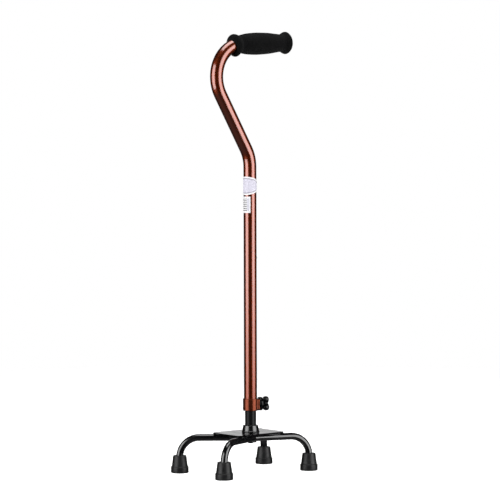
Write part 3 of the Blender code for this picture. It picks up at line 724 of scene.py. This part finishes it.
def ruled_print(material, place):
    """Plain rules on one part of a white label and a pale lavender strip beside them."""
    white, rule, field = (0.45, 0.448, 0.455), (0.02, 0.02, 0.022), (0.33, 0.33, 0.37)
    parts = add_node(material, "ShaderNodeSeparateXYZ", {"Vector": place}).outputs
    across, up, inside = (parts[axis] for axis in "XYZ")
    wave = add_node(material, "ShaderNodeMath", {0: up, 1: 25.0}, operation="MULTIPLY")
    rows = add_node(material, "ShaderNodeMath", {0: wave.outputs["Value"]}, operation="SINE")
    inked = between(material, rows.outputs["Value"], 0.0, 0.9, -0.2, 0.5)
    ruled = mixed(material, inked, white, rule)
    printed = mixed(material, between(material, across, 0.0, 1.0, 0.34, 0.42), ruled, field)
    printed = mixed(material, between(material, across, 0.0, 1.0, 0.8, 0.86), printed, white)
    return mixed(material, between(material, inside, 1.0, 0.0, 0.18, 0.24), printed, white)


# Handle


def handle_corners(bottom):
    """The corners of the upper tube's centre line, from its foot to the end in the grip."""
    vertex = Vector((GRIP_VERTEX[0], 0, GRIP_VERTEX[1]))
    along = Vector((math.cos(GRIP_RISE), 0, math.sin(GRIP_RISE)))
    end = vertex + along * (TUBE_END_X - vertex.x) / along.x
    return [Vector((0, 0, bottom)), Vector((0, 0, LEAN_VERTEX_Z)), vertex, end]


def grip_place(distance):
    """Centre, direction and heading of the handle tube, past the end of its upper bend."""
    vertex = Vector((GRIP_VERTEX[0], 0, GRIP_VERTEX[1]))
    along = Vector((math.cos(GRIP_RISE), 0, math.sin(GRIP_RISE)))
    turn = math.pi / 2 + LEAN - GRIP_RISE
    bend_end = vertex + along * GRIP_BEND_R * math.tan(turn / 2)
    if distance >= 0:
        return bend_end + along * distance, along, GRIP_RISE
    heading = GRIP_RISE - distance / GRIP_BEND_R
    down = Vector((math.sin(GRIP_RISE), 0, -math.cos(GRIP_RISE)))
    centre = bend_end + down * GRIP_BEND_R
    place = centre + Vector((-math.sin(heading), 0, math.cos(heading))) * GRIP_BEND_R
    return place, Vector((math.cos(heading), 0, math.sin(heading))), heading


def foam_ring(distance, radius):
    """A cross-section of the foam's outside, which turns less than the tube does."""
    centre, _, heading = grip_place(distance)
    turn = GRIP_RISE + GRIP_FOLLOW * (heading - GRIP_RISE)
    direction = Vector((math.cos(turn), 0, math.sin(turn)))
    return circle(centre, Y_AXIS, direction.cross(Y_AXIS), radius, GRIP_SIDES)


def make_upper_tube(look):
    low = span("upper_tube")[0].z
    radii = (LEAN_BEND_R, GRIP_BEND_R)
    points, directions = rounded_path(handle_corners(low), radii, ARC_STEP, RING_STEP)
    pipe = bent_tube(points, directions, Y_AXIS, UPPER_R, UPPER_R - UPPER_WALL, TUBE_SIDES)
    tube = add_fine("upper_tube", pipe, look, "handle")
    for k in range(HOLE_COUNT):
        drill(tube, HOLE_R, UPPER_DRILL_FROM, 0.0, BUTTON_Z - k * HOLE_PITCH)
    drill(tube, LUG_BORE_R, UPPER_DRILL_FROM, SCREW_ANGLE, SCREW_Z)
    apply_modifiers(tube)


def make_foam_grip(look):
    """The grip with its rolled rims, and a slightly uneven skin."""
    outer = [foam_ring(distance, radius) for distance, radius in smooth_outline(GRIP_OUTLINE, 10)]
    end_centre, end_direction, _ = grip_place(GRIP_END)
    end_up = end_direction.cross(Y_AXIS)
    for share in (1.0, 0.8, 0.6, 0.4, 0.2):
        centre = end_centre - end_direction * GRIP_DISH * (1 - share)
        outer.append(circle(centre, Y_AXIS, end_up, GRIP_END_R * share, GRIP_SIDES))
    outer.append([end_centre - end_direction * GRIP_DISH])
    start = GRIP_OUTLINE[0][0]
    inner = [[grip_place(GRIP_BORE_END)[0]]]
    for distance in (GRIP_BORE_END, *(start * k / 5 for k in range(6))):
        centre, direction, _ = grip_place(distance)
        inner.append(circle(centre, Y_AXIS, direction.cross(Y_AXIS), UPPER_R + GAP, GRIP_SIDES))
    lip = foam_ring(start - 0.4, GRIP_START_R)
    bm = lofted([*inner, lip, *outer])
    bm.normal_update()
    for vert in bm.verts:
        if (vert.co - end_centre).dot(end_direction) > -GRIP_PLAIN_END:
            continue
        swell = sum(noise.noise(vert.co / length) * depth for length, depth in SKIN_WAVES)
        vert.co -= vert.normal * abs(swell)
    grip = add_fine("foam_grip", bm, look, "handle")


def make_tube_plug(look):
    end = handle_corners(0.0)[-1]
    place = SHAFT @ Matrix.Translation(end * MM) @ Matrix.Rotation(math.pi / 2 - GRIP_RISE, 4, "Y")
    inner, rim = UPPER_R - UPPER_WALL - GAP, UPPER_R - TUBE_PLUG_INSET
    corners = [
        (0, -TUBE_PLUG_DEEP), (inner, -TUBE_PLUG_DEEP, 1.0), (inner, GAP), (rim, GAP),
        (rim, TUBE_PLUG_HEAD, 0.6), (0, TUBE_PLUG_HEAD),
    ]
    add_turned("handle_tube_plug", corners, look, "handle", place)


def rounded_rectangle(half_x, half_y, corner, steps):
    """Points round a rectangle with round corners, centred on the origin."""
    outline = []
    for quarter, (sx, sy) in enumerate(((1, 1), (-1, 1), (-1, -1), (1, -1))):
        for k in range(steps + 1):
            turn = math.radians(90.0 * (quarter + k / steps))
            x = sx * (half_x - corner) + corner * math.cos(turn)
            y = sy * (half_y - corner) + corner * math.sin(turn)
            outline.append((x, y))
    return outline


def make_lug(low):
    """The collar's square lug, whose Z points outwards and X down."""
    top = SCREW_Z - COLLAR_TOP + LUG_INSET
    bottom = SCREW_Z - low - LUG_INSET
    middle_x, half_x = (top + bottom) / 2, (bottom - top) / 2
    rings = [[Vector((middle_x, 0, LUG_FROM))]]
    for k in range(-1, 9):
        turn = math.radians(90.0) * max(0, k) / 8
        height = LUG_FROM if k < 0 else LUG_END - LUG_EDGE * (1 - math.sin(turn))
        inset = LUG_EDGE * (1 - math.cos(turn))
        outline = rounded_rectangle(half_x - inset, LUG_HALF_WIDE - inset, LUG_CORNER_R - inset, 12)
        rings.append([Vector((x + middle_x, y, height)) for x, y in outline])
    return lofted([*rings, [Vector((middle_x, 0, LUG_END))]])


def make_collar(looks):
    low = span("collar")[0].z
    corners = [(0, low), (COLLAR_R, low, 0.9), (COLLAR_R, COLLAR_TOP, 0.9), (0, COLLAR_TOP)]
    collar = add_turned("collar", corners, looks["collar"], "handle")
    place = radial_place(SCREW_ANGLE, SCREW_Z)
    cut(collar, make_lug(low), place, "UNION")
    cast = collar.modifiers.new("cast", "REMESH")
    cast.mode = "VOXEL"
    cast.voxel_size = CAST_GRAIN * MM
    cast.use_smooth_shade = True
    blended = collar.modifiers.new("blended_corners", "SMOOTH")
    blended.factor = 0.5
    blended.iterations = 6
    cut(collar, rod(UPPER_R + GAP, low - PAST, COLLAR_TOP + PAST, TUBE_SIDES), SHAFT)
    step, wide = INSERT_FROM - GAP, INSERT_R + GAP
    corners = [
        (0, UPPER_DRILL_FROM), (LUG_BORE_R, UPPER_DRILL_FROM), (LUG_BORE_R, step), (wide, step),
        (wide, DRILL_END), (0, DRILL_END),
    ]
    cut(collar, turned(corners, SMALL_SIDES), place)
    apply_modifiers(collar)
    nut = sleeve(INSERT_BORE_R, INSERT_R, INSERT_FROM, INSERT_TO, SMALL_SIDES)
    add_fine("boss_insert", nut, looks["brass"], "handle", place)
    low, high = span("collar_bush")
    bush = sleeve(LOWER_R + GAP, UPPER_R, low.z, high.z, TUBE_SIDES, 0.4)
    add_fine("collar_bush", bush, looks["nylon"], "handle")


def label_sheet(start, end, low, high, oval):
    """A thin sheet wrapped on the shaft, either a rectangle or an oval, with its coordinates."""
    bm = bmesh.new()
    layer = bm.verts.layers.float_vector.new("label_place")
    grids = []
    for radius in (UPPER_R + LABEL_NEAR, UPPER_R + LABEL_FAR):
        grid = []
        for column in range(LABEL_COLUMNS + 1):
            across = -math.cos(math.pi * column / LABEL_COLUMNS)
            half = max(math.sqrt(1 - across**2), LABEL_POINT) if oval else 1.0
            angle = start + (end - start) * (across + 1) / 2
            line = []
            for row in range(LABEL_ROWS + 1):
                up = half * (2 * row / LABEL_ROWS - 1)
                height = (low + high) / 2 + up * (high - low) / 2
                vert = bm.verts.new((math.cos(angle) * radius, math.sin(angle) * radius, height))
                vert[layer] = Vector((across, up, half - abs(up)))
                line.append(vert)
            grid.append(line)
        grids.append(grid)
    inner, outer = grids
    for column in range(LABEL_COLUMNS):
        near, far = column, column + 1
        for row in range(LABEL_ROWS):
            for grid in grids:
                bm.faces.new([*grid[near][row:row + 2], *reversed(grid[far][row:row + 2])])
        for row in (0, LABEL_ROWS):
            bm.faces.new([inner[near][row], inner[far][row], outer[far][row], outer[near][row]])
    for column in (0, LABEL_COLUMNS):
        for row in range(LABEL_ROWS):
            bm.faces.new([*inner[column][row:row + 2], *reversed(outer[column][row:row + 2])])
    return bm


def make_labels(looks):
    for node, (look, start, end, oval) in LABELS.items():
        low, high = span(node)
        sheet = label_sheet(math.radians(start), math.radians(end), low.z, high.z, oval)
        add_fine(node, sheet, looks[look], "handle")


# Thumbscrew


def lobed_ring(height, scale, drop):
    """A cross-section of the knob: round lobes, with valleys that lie lower by the drop."""
    middle_r, swing = (KNOB_LOBE_R + KNOB_VALLEY_R) / 2, (KNOB_LOBE_R - KNOB_VALLEY_R) / 2
    ring = []
    for k in range(KNOB_SIDES):
        turn = 2 * math.pi * k / KNOB_SIDES
        lobe = math.cos(KNOB_LOBES * (turn - KNOB_LOBE_TURN))
        radius = scale * (middle_r + swing * lobe)
        low = height - drop * (1 - lobe) / 2
        ring.append(Vector((radius * math.cos(turn), radius * math.sin(turn), low)))
    return ring


def make_knob(looks):
    rim_end = KNOB_FROM + KNOB_RIM_THICK
    corners = [
        (KNOB_BORE_R, STUD_END + GAP), (KNOB_BORE_R, KNOB_FROM), (KNOB_RIM_R, KNOB_FROM, 0.9),
        (KNOB_RIM_R, rim_end, 1.1), (KNOB_BORE_R, rim_end),
    ]
    rings = [[Z_AXIS * (STUD_END + GAP)]]
    for radius, z in filleted(corners, 6)[:-1]:
        rings.append(circle(Z_AXIS * z, X_AXIS, Y_AXIS, radius, KNOB_SIDES))
    outline = (
        (rim_end + 0.1, 0.64), (rim_end + 0.8, 0.72), (rim_end + 2.2, 0.9),
        (rim_end + 4.0, 0.99), (rim_end + 5.8, 1.0), (KNOB_END - 3.6, 0.985),
        (KNOB_END - 1.8, 0.92), (KNOB_END - 0.6, 0.8), (KNOB_END - 0.05, 0.62),
        (KNOB_END - 0.5, 0.44), (KNOB_END - 1.0, 0.2),
    )
    for z, scale in smooth_outline(outline, 6):
        drop = KNOB_VALLEY_DROP * (z - rim_end) / (KNOB_END - rim_end)
        rings.append(lobed_ring(z, scale, drop))
    rings.append([Z_AXIS * (KNOB_END - 1.9)])
    place = radial_place(SCREW_ANGLE, SCREW_Z)
    add_fine("thumb_knob", lofted(rings), looks["knob"], "knob", place)
    pad_from, pad_end = LOWER_R + GAP, LOWER_R + PAD_END
    stud = threaded(STUD_R, THREAD_DEEP, THREAD_PITCH, pad_end + GAP, STUD_END)
    add_fine("screw_stud", stud, looks["zinc"], "knob", place)
    corners = [(0, pad_from), (PAD_R, pad_from, 0.5), (PAD_R, pad_end, 0.3), (0, pad_end)]
    add_turned("screw_pad", corners, looks["nylon"], "pad", place, SMALL_SIDES)


# Lower shaft


def make_lower_tube(look):
    low, high = span("lower_tube")
    pipe = straight_tube(LOWER_R, LOWER_BORE_R, low.z, high.z)
    tube = add_fine("lower_tube", pipe, look, "lower_shaft")
    drill(tube, BUTTON_HOLE_R, LOWER_DRILL_FROM, 0.0, BUTTON_Z)
    drill(tube, RIVET_HOLE_R, LOWER_DRILL_FROM, RIVET_ANGLE, RIVET_Z)
    apply_modifiers(tube)


def straight_tube(radius, bore, low, high):
    """A tube along Z with rings close enough that a hole changes only the faces near it."""
    count = math.ceil((high - low) / RING_STEP)
    outline = [(radius, low + (high - low) * k / count) for k in range(count + 1)]
    outline += [(bore, high), (bore, low)]
    return turned(outline, TUBE_SIDES)


def make_boot(look):
    low, high = span("base_boot")
    bore = LOWER_R + GAP
    corners = [
        (bore, low.z), (BOOT_BAND_R, low.z, 0.3), (BOOT_BAND_R, low.z + BOOT_BAND_HIGH, 0.7),
        (BOOT_CONE_R, low.z + BOOT_CONE_FROM, 0.5), (BOOT_TOP_R, high.z, 1.0),
        (bore, high.z, 0.4),
    ]
    add_turned("base_boot", corners, look, "lower_shaft")


def make_shaft_fittings(looks):
    low, high = span("tube_anchor_plug")
    corners = [
        (BOLT_BORE_R, low.z), (PLUG_R, low.z, 0.5), (PLUG_R, high.z, 0.8), (0, high.z),
        (0, PLUG_BORE_TOP), (BOLT_BORE_R, PLUG_BORE_TOP),
    ]
    add_turned("tube_anchor_plug", corners, looks["aluminium"], "lower_shaft")
    head = LOWER_R + GAP
    corners = [
        (0, RIVET_FROM), (RIVET_R, RIVET_FROM), (RIVET_R, head), (RIVET_HEAD_R, head),
        (RIVET_HEAD_R, head + 0.5, 0.3), (RIVET_CROWN_R, head + 1.1, 0.8), (0, head + 1.2),
    ]
    place = radial_place(RIVET_ANGLE, RIVET_Z)
    add_turned("anchor_rivet", corners, looks["black_steel"], "lower_shaft", place, SMALL_SIDES)
    low, high = span("guide_cap")
    rim = span("lower_tube")[1].z + GAP
    corners = [
        (0, low.z), (PLUG_R, low.z, 0.8), (PLUG_R, rim), (CAP_R, rim, 0.3),
        (CAP_R, high.z, 1.2), (0, high.z),
    ]
    add_turned("guide_cap", corners, looks["nylon"], "lower_shaft")


def make_leaf_spring(look):
    """A bent strip with rounded edges that pushes the button out from the far wall."""
    ends = (
        (SPRING_FRONT, SPRING_TOP), (SPRING_FRONT, SPRING_BOTTOM), (SPRING_BACK, SPRING_BOTTOM),
        (SPRING_BACK, SPRING_TOP),
    )
    bend = (SPRING_FRONT - SPRING_BACK) / 2 * 0.99
    corners = [Vector((x, 0, z)) for x, z in ends]
    points, directions = rounded_path(corners, (bend, bend), SPRING_ARC_STEP)
    rings = [[points[0]]]
    for point, direction in zip(points, directions):
        deep = direction.cross(Y_AXIS)
        ring = []
        for k in range(SPRING_SIDES):
            turn = 2 * math.pi * k / SPRING_SIDES
            flat = abs(math.cos(turn)) ** 0.35 * math.copysign(SPRING_WIDE / 2, math.cos(turn))
            rise = abs(math.sin(turn)) ** 0.6 * math.copysign(SPRING_THICK / 2, math.sin(turn))
            ring.append(point + Y_AXIS * flat + deep * rise)
        rings.append(ring)
    rings.append([points[-1]])
    add_fine("button_spring", lofted(rings), look, "lower_shaft")


def make_button(look):
    start, flange_end = BUTTON_FLANGE
    dome_from, end = BUTTON_DOME
    corners = [
        (0, start), (BUTTON_FLANGE_R, start, 0.2), (BUTTON_FLANGE_R, flange_end),
        (BUTTON_R, flange_end), (BUTTON_R, dome_from),
    ]
    outline = filleted(corners)
    for turn in (0.2 * k for k in range(1, 8)):
        outline.append((BUTTON_R * math.cos(turn), dome_from + (end - dome_from) * math.sin(turn)))
    button = turned([*outline, (0, end)], SMALL_SIDES)
    add_fine("snap_button", button, look, "button", radial_place(0.0, BUTTON_Z))


# Base


def make_plate(look):
    low, high = span("base_plate")
    half_x, half_y = (high.x - low.x) / 2, (high.y - low.y) / 2
    x_middle, y_middle, _ = middle("base_plate")
    outline = rounded_rectangle(half_x, half_y, PLATE_CORNER_R, 12)
    bm = bmesh.new()
    face = bm.faces.new([bm.verts.new((x + x_middle, y + y_middle, low.z)) for x, y in outline])
    extruded = bmesh.ops.extrude_face_region(bm, geom=[face])["geom"]
    risen = [item for item in extruded if isinstance(item, bmesh.types.BMVert)]
    bmesh.ops.translate(bm, vec=(0, 0, high.z - low.z), verts=risen)
    plate = add_fine("base_plate", bm, look, "base", None)
    cut(plate, rod(BOLT_BORE_R, low.z - PAST, high.z + PAST), SHAFT)
    bevel = plate.modifiers.new("rolled_edge", "BEVEL")
    bevel.width = PLATE_EDGE * MM
    bevel.segments = 4
    bevel.limit_method = "ANGLE"
    bevel.angle_limit = math.radians(50.0)
    apply_modifiers(plate)
    return plate


def make_leg(node, foot_y, vertex_y, look):
    """A leg tube from tip to tip."""
    corners = [Vector((x, foot_y, z)) for x, z in ((-FOOT_X, LEG_BOTTOM), (-FOOT_X, LEG_Z))]
    corners.append(Vector((0, SHAFT_Y + vertex_y, LEG_Z)))
    corners += [Vector((x, foot_y, z)) for x, z in ((FOOT_X, LEG_Z), (FOOT_X, LEG_BOTTOM))]
    points, directions = rounded_path(corners, (LEG_BEND_R, LEG_APEX_R, LEG_BEND_R), ARC_STEP)
    along = (corners[2] - corners[1]).normalized()
    tube = bent_tube(points, directions, along, LEG_R, LEG_R - LEG_WALL, SMALL_SIDES)
    add_fine(node, tube, look, "base", None)


def make_weld(name, start, end, look):
    """A rippled bead laid along the joint of a leg tube and the plate."""
    across = (end - start).normalized().cross(Z_AXIS)
    rings = [[start]]
    for k in range(1, WELD_STEPS):
        share = k / WELD_STEPS
        ripple = 0.14 * abs(math.sin(share * math.pi * WELD_RIPPLES))
        uneven = 0.05 * noise.noise(Vector((share * 9, start.x, 0)))
        ends = min(1.0, math.sqrt(share * 14), math.sqrt((1 - share) * 14))
        radius = WELD_R * (1 + ripple + uneven) * ends
        rings.append(circle(start.lerp(end, share), across, Z_AXIS, radius, WELD_SIDES))
    add_piece(name, lofted([*rings, [end]]), look, "base")


def make_welds(look):
    """Beads on both sides of each arm, under the plate."""
    bead_z = LEG_Z + LEG_R - WELD_DROP
    for row, foot_y, vertex_y in (("outer", FOOT_Y, OUTER_VERTEX), ("inner", -FOOT_Y, INNER_VERTEX)):
        vertex = Vector((0, SHAFT_Y + vertex_y, bead_z))
        for hand, sign in (("left", -1), ("right", 1)):
            along = (Vector((sign * FOOT_X, foot_y, bead_z)) - vertex).normalized()
            across = along.cross(Z_AXIS)
            for edge, way in (("a", -1), ("b", 1)):
                start = vertex + along * WELD_FROM + across * way * WELD_ASIDE
                make_weld(f"weld_bead_{row}_{hand}_{edge}", start, start + along * WELD_LONG, look)


def make_tip(name, rubber, steel):
    low, high = span(f"foot_tip_{name}")
    centre = (low + high) / 2
    band = (high.x - low.x) / 2
    place = Matrix.Translation((centre.x * MM, centre.y * MM, 0))
    bore = LEG_R + GAP
    mouth_wide, mouth_deep = TIP_MOUTH
    tread = []
    for radius in TREAD_RADII:
        groove = ((-0.9, 0.0), (-0.6, TREAD_DEEP), (0.1, TREAD_DEEP), (0.4, 0.0))
        tread = [*((radius + aside, height) for aside, height in groove), *tread]
    corners = [
        (0, 0), *tread, (band, 0, 1.6), (band, TIP_BAND_TOP, 0.5),
        (band - 0.7, TIP_BAND_TOP + 0.6, 0.25), (TIP_CONE_R, TIP_CONE_FROM, 0.6),
        (TIP_TOP_R, high.z, 1.0), (bore + mouth_wide, high.z, 0.25),
        (bore, high.z - mouth_deep), (bore, TIP_FLOOR), (0, TIP_FLOOR),
    ]
    add_turned(f"foot_tip_{name}", corners, rubber, "base", place)
    disc = sleeve(DISC_BORE_R, LEG_R - 0.2, *DISC, SMALL_SIDES, 0.2)
    add_fine(f"tip_washer_{name}", disc, steel, "base", place)


def make_bolt(look):
    low = span("base_bolt")[0].z
    head_top = low + BOLT_HEAD_HIGH
    corners = [
        (0, low), (BOLT_CROWN_R, low, 0.4), (BOLT_HEAD_R, head_top - 0.5, 0.3),
        (BOLT_HEAD_R, head_top, 0.15), (BOLT_R, head_top), (BOLT_R, BOLT_TOP, 0.3),
        (BOLT_END_R, BOLT_TOP + 1.0), (0, BOLT_TOP + 1.0),
    ]
    bolt = add_fine("base_bolt", turned(filleted(corners, 6), SMALL_SIDES), look, "base")
    cut(bolt, rod(SOCKET_R, low - PAST, low + SOCKET_DEEP, 6), SHAFT)
    apply_modifiers(bolt)
    low, high = span("base_bolt_washer")
    disc = sleeve(BOLT_BORE_R, high.x, low.z, high.z, TUBE_SIDES, 0.4)
    add_fine("base_bolt_washer", disc, look, "base")


def make_base(looks):
    plate = make_plate(looks["enamel"])
    make_leg("leg_tube_outer", FOOT_Y, OUTER_VERTEX, looks["enamel"])
    make_leg("leg_tube_inner", -FOOT_Y, INNER_VERTEX, looks["enamel"])
    make_welds(looks["enamel"])
    for name in ("outer_left", "outer_right", "inner_left", "inner_right"):
        make_tip(name, looks["rubber"], looks["zinc"])
    make_bolt(looks["black_steel"])
    return plate


# Studio


def make_floor():
    """A pale round floor that fades into the white background at its rim."""
    bm = bmesh.new()
    rings = [circle(Vector(), X_AXIS, Y_AXIS, radius, 96) for radius in FLOOR_RADII]
    loops = [[bm.verts.new(Vector())]] + [[bm.verts.new(point) for point in ring] for ring in rings]
    for loop, following in zip(loops, loops[1:]):
        join_rings(bm, loop, following)
    floor = make_object("studio_floor", bm, smooth=False)
    sockets = {
        "Specular IOR Level": 0.1,
        "Base Color": (0.9, 0.9, 0.9, 1.0),
        "Emission Color": (1.0, 1.0, 1.0, 1.0),
        "Emission Strength": 0.5,
    }
    material = new_material("studio_floor", 0.9, 0.0, sockets)
    inputs = {0: coordinates(material)}
    distance = add_node(material, "ShaderNodeVectorMath", inputs, operation="LENGTH")
    fade = between(material, distance.outputs["Value"], 0.0, 1.0, *FLOOR_FADE)
    solid = material.node_tree.nodes["Principled BSDF"].outputs["BSDF"]
    clear = add_node(material, "ShaderNodeBsdfTransparent").outputs["BSDF"]
    show_mix(material, fade, solid, clear, "Material Output")
    floor.data.materials.append(material)
    floor.visible_glossy = False


def make_softbox(name, turn, distance, height, size, radiance):
    """A rectangular light at an angle from the camera, seen from the shaft, facing the shaft."""
    facing = math.atan2(CAMERA_PLACE[1], CAMERA_PLACE[0]) + math.radians(turn)
    data = bpy.data.lights.new(name, "AREA")
    data.shape = "RECTANGLE"
    data.size, data.size_y = size
    data.energy = radiance * math.pi * size[0] * size[1]
    light = bpy.data.objects.new(name, data)
    bpy.context.scene.collection.objects.link(light)
    light.location = (math.cos(facing) * distance, math.sin(facing) * distance, height)
    inward = Vector((-math.cos(facing), -math.sin(facing), 0.0))
    light.rotation_euler = inward.to_track_quat("-Z", "Y").to_euler()
    light.visible_camera = False
    return light


def flag_light(light, shaded):
    """Keeps a light off one object, as a flag on a stand does."""
    flagged = bpy.data.collections.new(f"{light.name}_flag")
    flagged.objects.link(shaded)
    flagged.collection_objects[0].light_linking.link_state = "EXCLUDE"
    light.light_linking.receiver_collection = flagged


def make_lights(plate):
    for name, settings in SOFTBOXES.items():
        light = make_softbox(name, *settings)
        if name in FLAGGED:
            flag_light(light, plate)
        if name == "softbox_overhead":
            light.rotation_euler = (0.0, 0.0, 0.0)


def make_world():
    """White to the camera and nearly black to everything else, a little lighter from below."""
    world = bpy.data.worlds.new("studio")
    bpy.context.scene.world = world
    world.use_nodes = True
    seen = world.node_tree.nodes["Background"]
    seen.inputs["Color"].default_value = (1.0, 1.0, 1.0, 1.0)
    direction = add_node(world, "ShaderNodeTexCoord").outputs["Generated"]
    shade = between(world, part_of(world, direction, "Z"), 0.26, 0.006, -0.86, -0.42)
    room = add_node(world, "ShaderNodeBackground", {"Color": shade})
    to_camera = add_node(world, "ShaderNodeLightPath").outputs["Is Camera Ray"]
    show_mix(world, to_camera, room.outputs["Background"], seen.outputs["Background"], "World Output")


def make_camera():
    data = bpy.data.cameras.new("camera")
    data.lens = CAMERA_LENS
    data.sensor_width = 36.0
    camera = bpy.data.objects.new("camera", data)
    bpy.context.scene.collection.objects.link(camera)
    camera.location = CAMERA_PLACE
    look = Vector(CAMERA_LOOK).to_track_quat("-Z", "Y").to_matrix()
    camera.rotation_euler = (look @ Matrix.Rotation(math.radians(CAMERA_ROLL), 3, "Z")).to_euler()
    bpy.context.scene.camera = camera
    bpy.context.scene.view_settings.view_transform = "Standard"


def make_looks():
    """Each look's material and the name of its slot."""
    knob_sockets = {"Specular IOR Level": 0.14}
    looks = {
        "bronze": (bronze_material(), "bronze_anodised"),
        "collar": (collar_material(), "collar_bronze"),
        "enamel": (enamel_material(), "base_enamel"),
        "satin_tube": (satin_tube_material(), "lower_tube_black"),
        "rubber": (rubber_material(), "tip_rubber"),
        "foam": (foam_material(), "foam"),
        "nylon": (nylon_material(), "nylon"),
        "oval_label": (printed_film("label_film_oval", oval_print), "label_film"),
        "ruled_label": (printed_film("label_film_ruled", ruled_print), "label_film"),
    }
    moulded = {
        "boot": ("boot_plastic", (0.0012, 0.0012, 0.0013), 0.2, 0.27, {"Coat Weight": 0.1}),
        "plastic": ("black_plastic", (0.008, 0.008, 0.0085), 0.45, 0.6),
        "knob": ("knob_plastic", (0.0008, 0.0008, 0.0009), 0.09, 0.14, knob_sockets),
    }
    for look, settings in moulded.items():
        looks[look] = (moulded_material(*settings), settings[0])
    metals = {
        "black_steel": (
            "black_steel", "black_steel", (0.03, 0.03, 0.031), (0.014, 0.014, 0.015), 0.32, 0.46, 0.8
        ),
        "aluminium": ("anchor_aluminium", "aluminium", (0.8, 0.8, 0.79), (0.68, 0.68, 0.67), 0.28, 0.42),
        "zinc": ("zinc_steel", "zinc", (0.66, 0.66, 0.63), (0.48, 0.48, 0.46), 0.28, 0.42),
        "brass": ("insert_brass", "brass", (0.78, 0.55, 0.24), (0.6, 0.4, 0.16), 0.24, 0.38),
        "spring": ("spring_steel", "spring_steel", (0.72, 0.71, 0.7), (0.55, 0.55, 0.55), 0.16, 0.28),
    }
    for look, (slot, *settings) in metals.items():
        looks[look] = (metal_material(*settings), slot)
    return looks


def main():
    looks = make_looks()
    make_camera()
    make_world()
    make_floor()
    make_lights(make_base(looks))
    make_lower_tube(looks["satin_tube"])
    make_boot(looks["boot"])
    make_shaft_fittings(looks)
    make_leaf_spring(looks["spring"])
    make_button(looks["spring"])
    make_upper_tube(looks["bronze"])
    make_foam_grip(looks["foam"])
    make_tube_plug(looks["plastic"])
    make_collar(looks)
    make_labels(looks)
    make_knob(looks)


main()
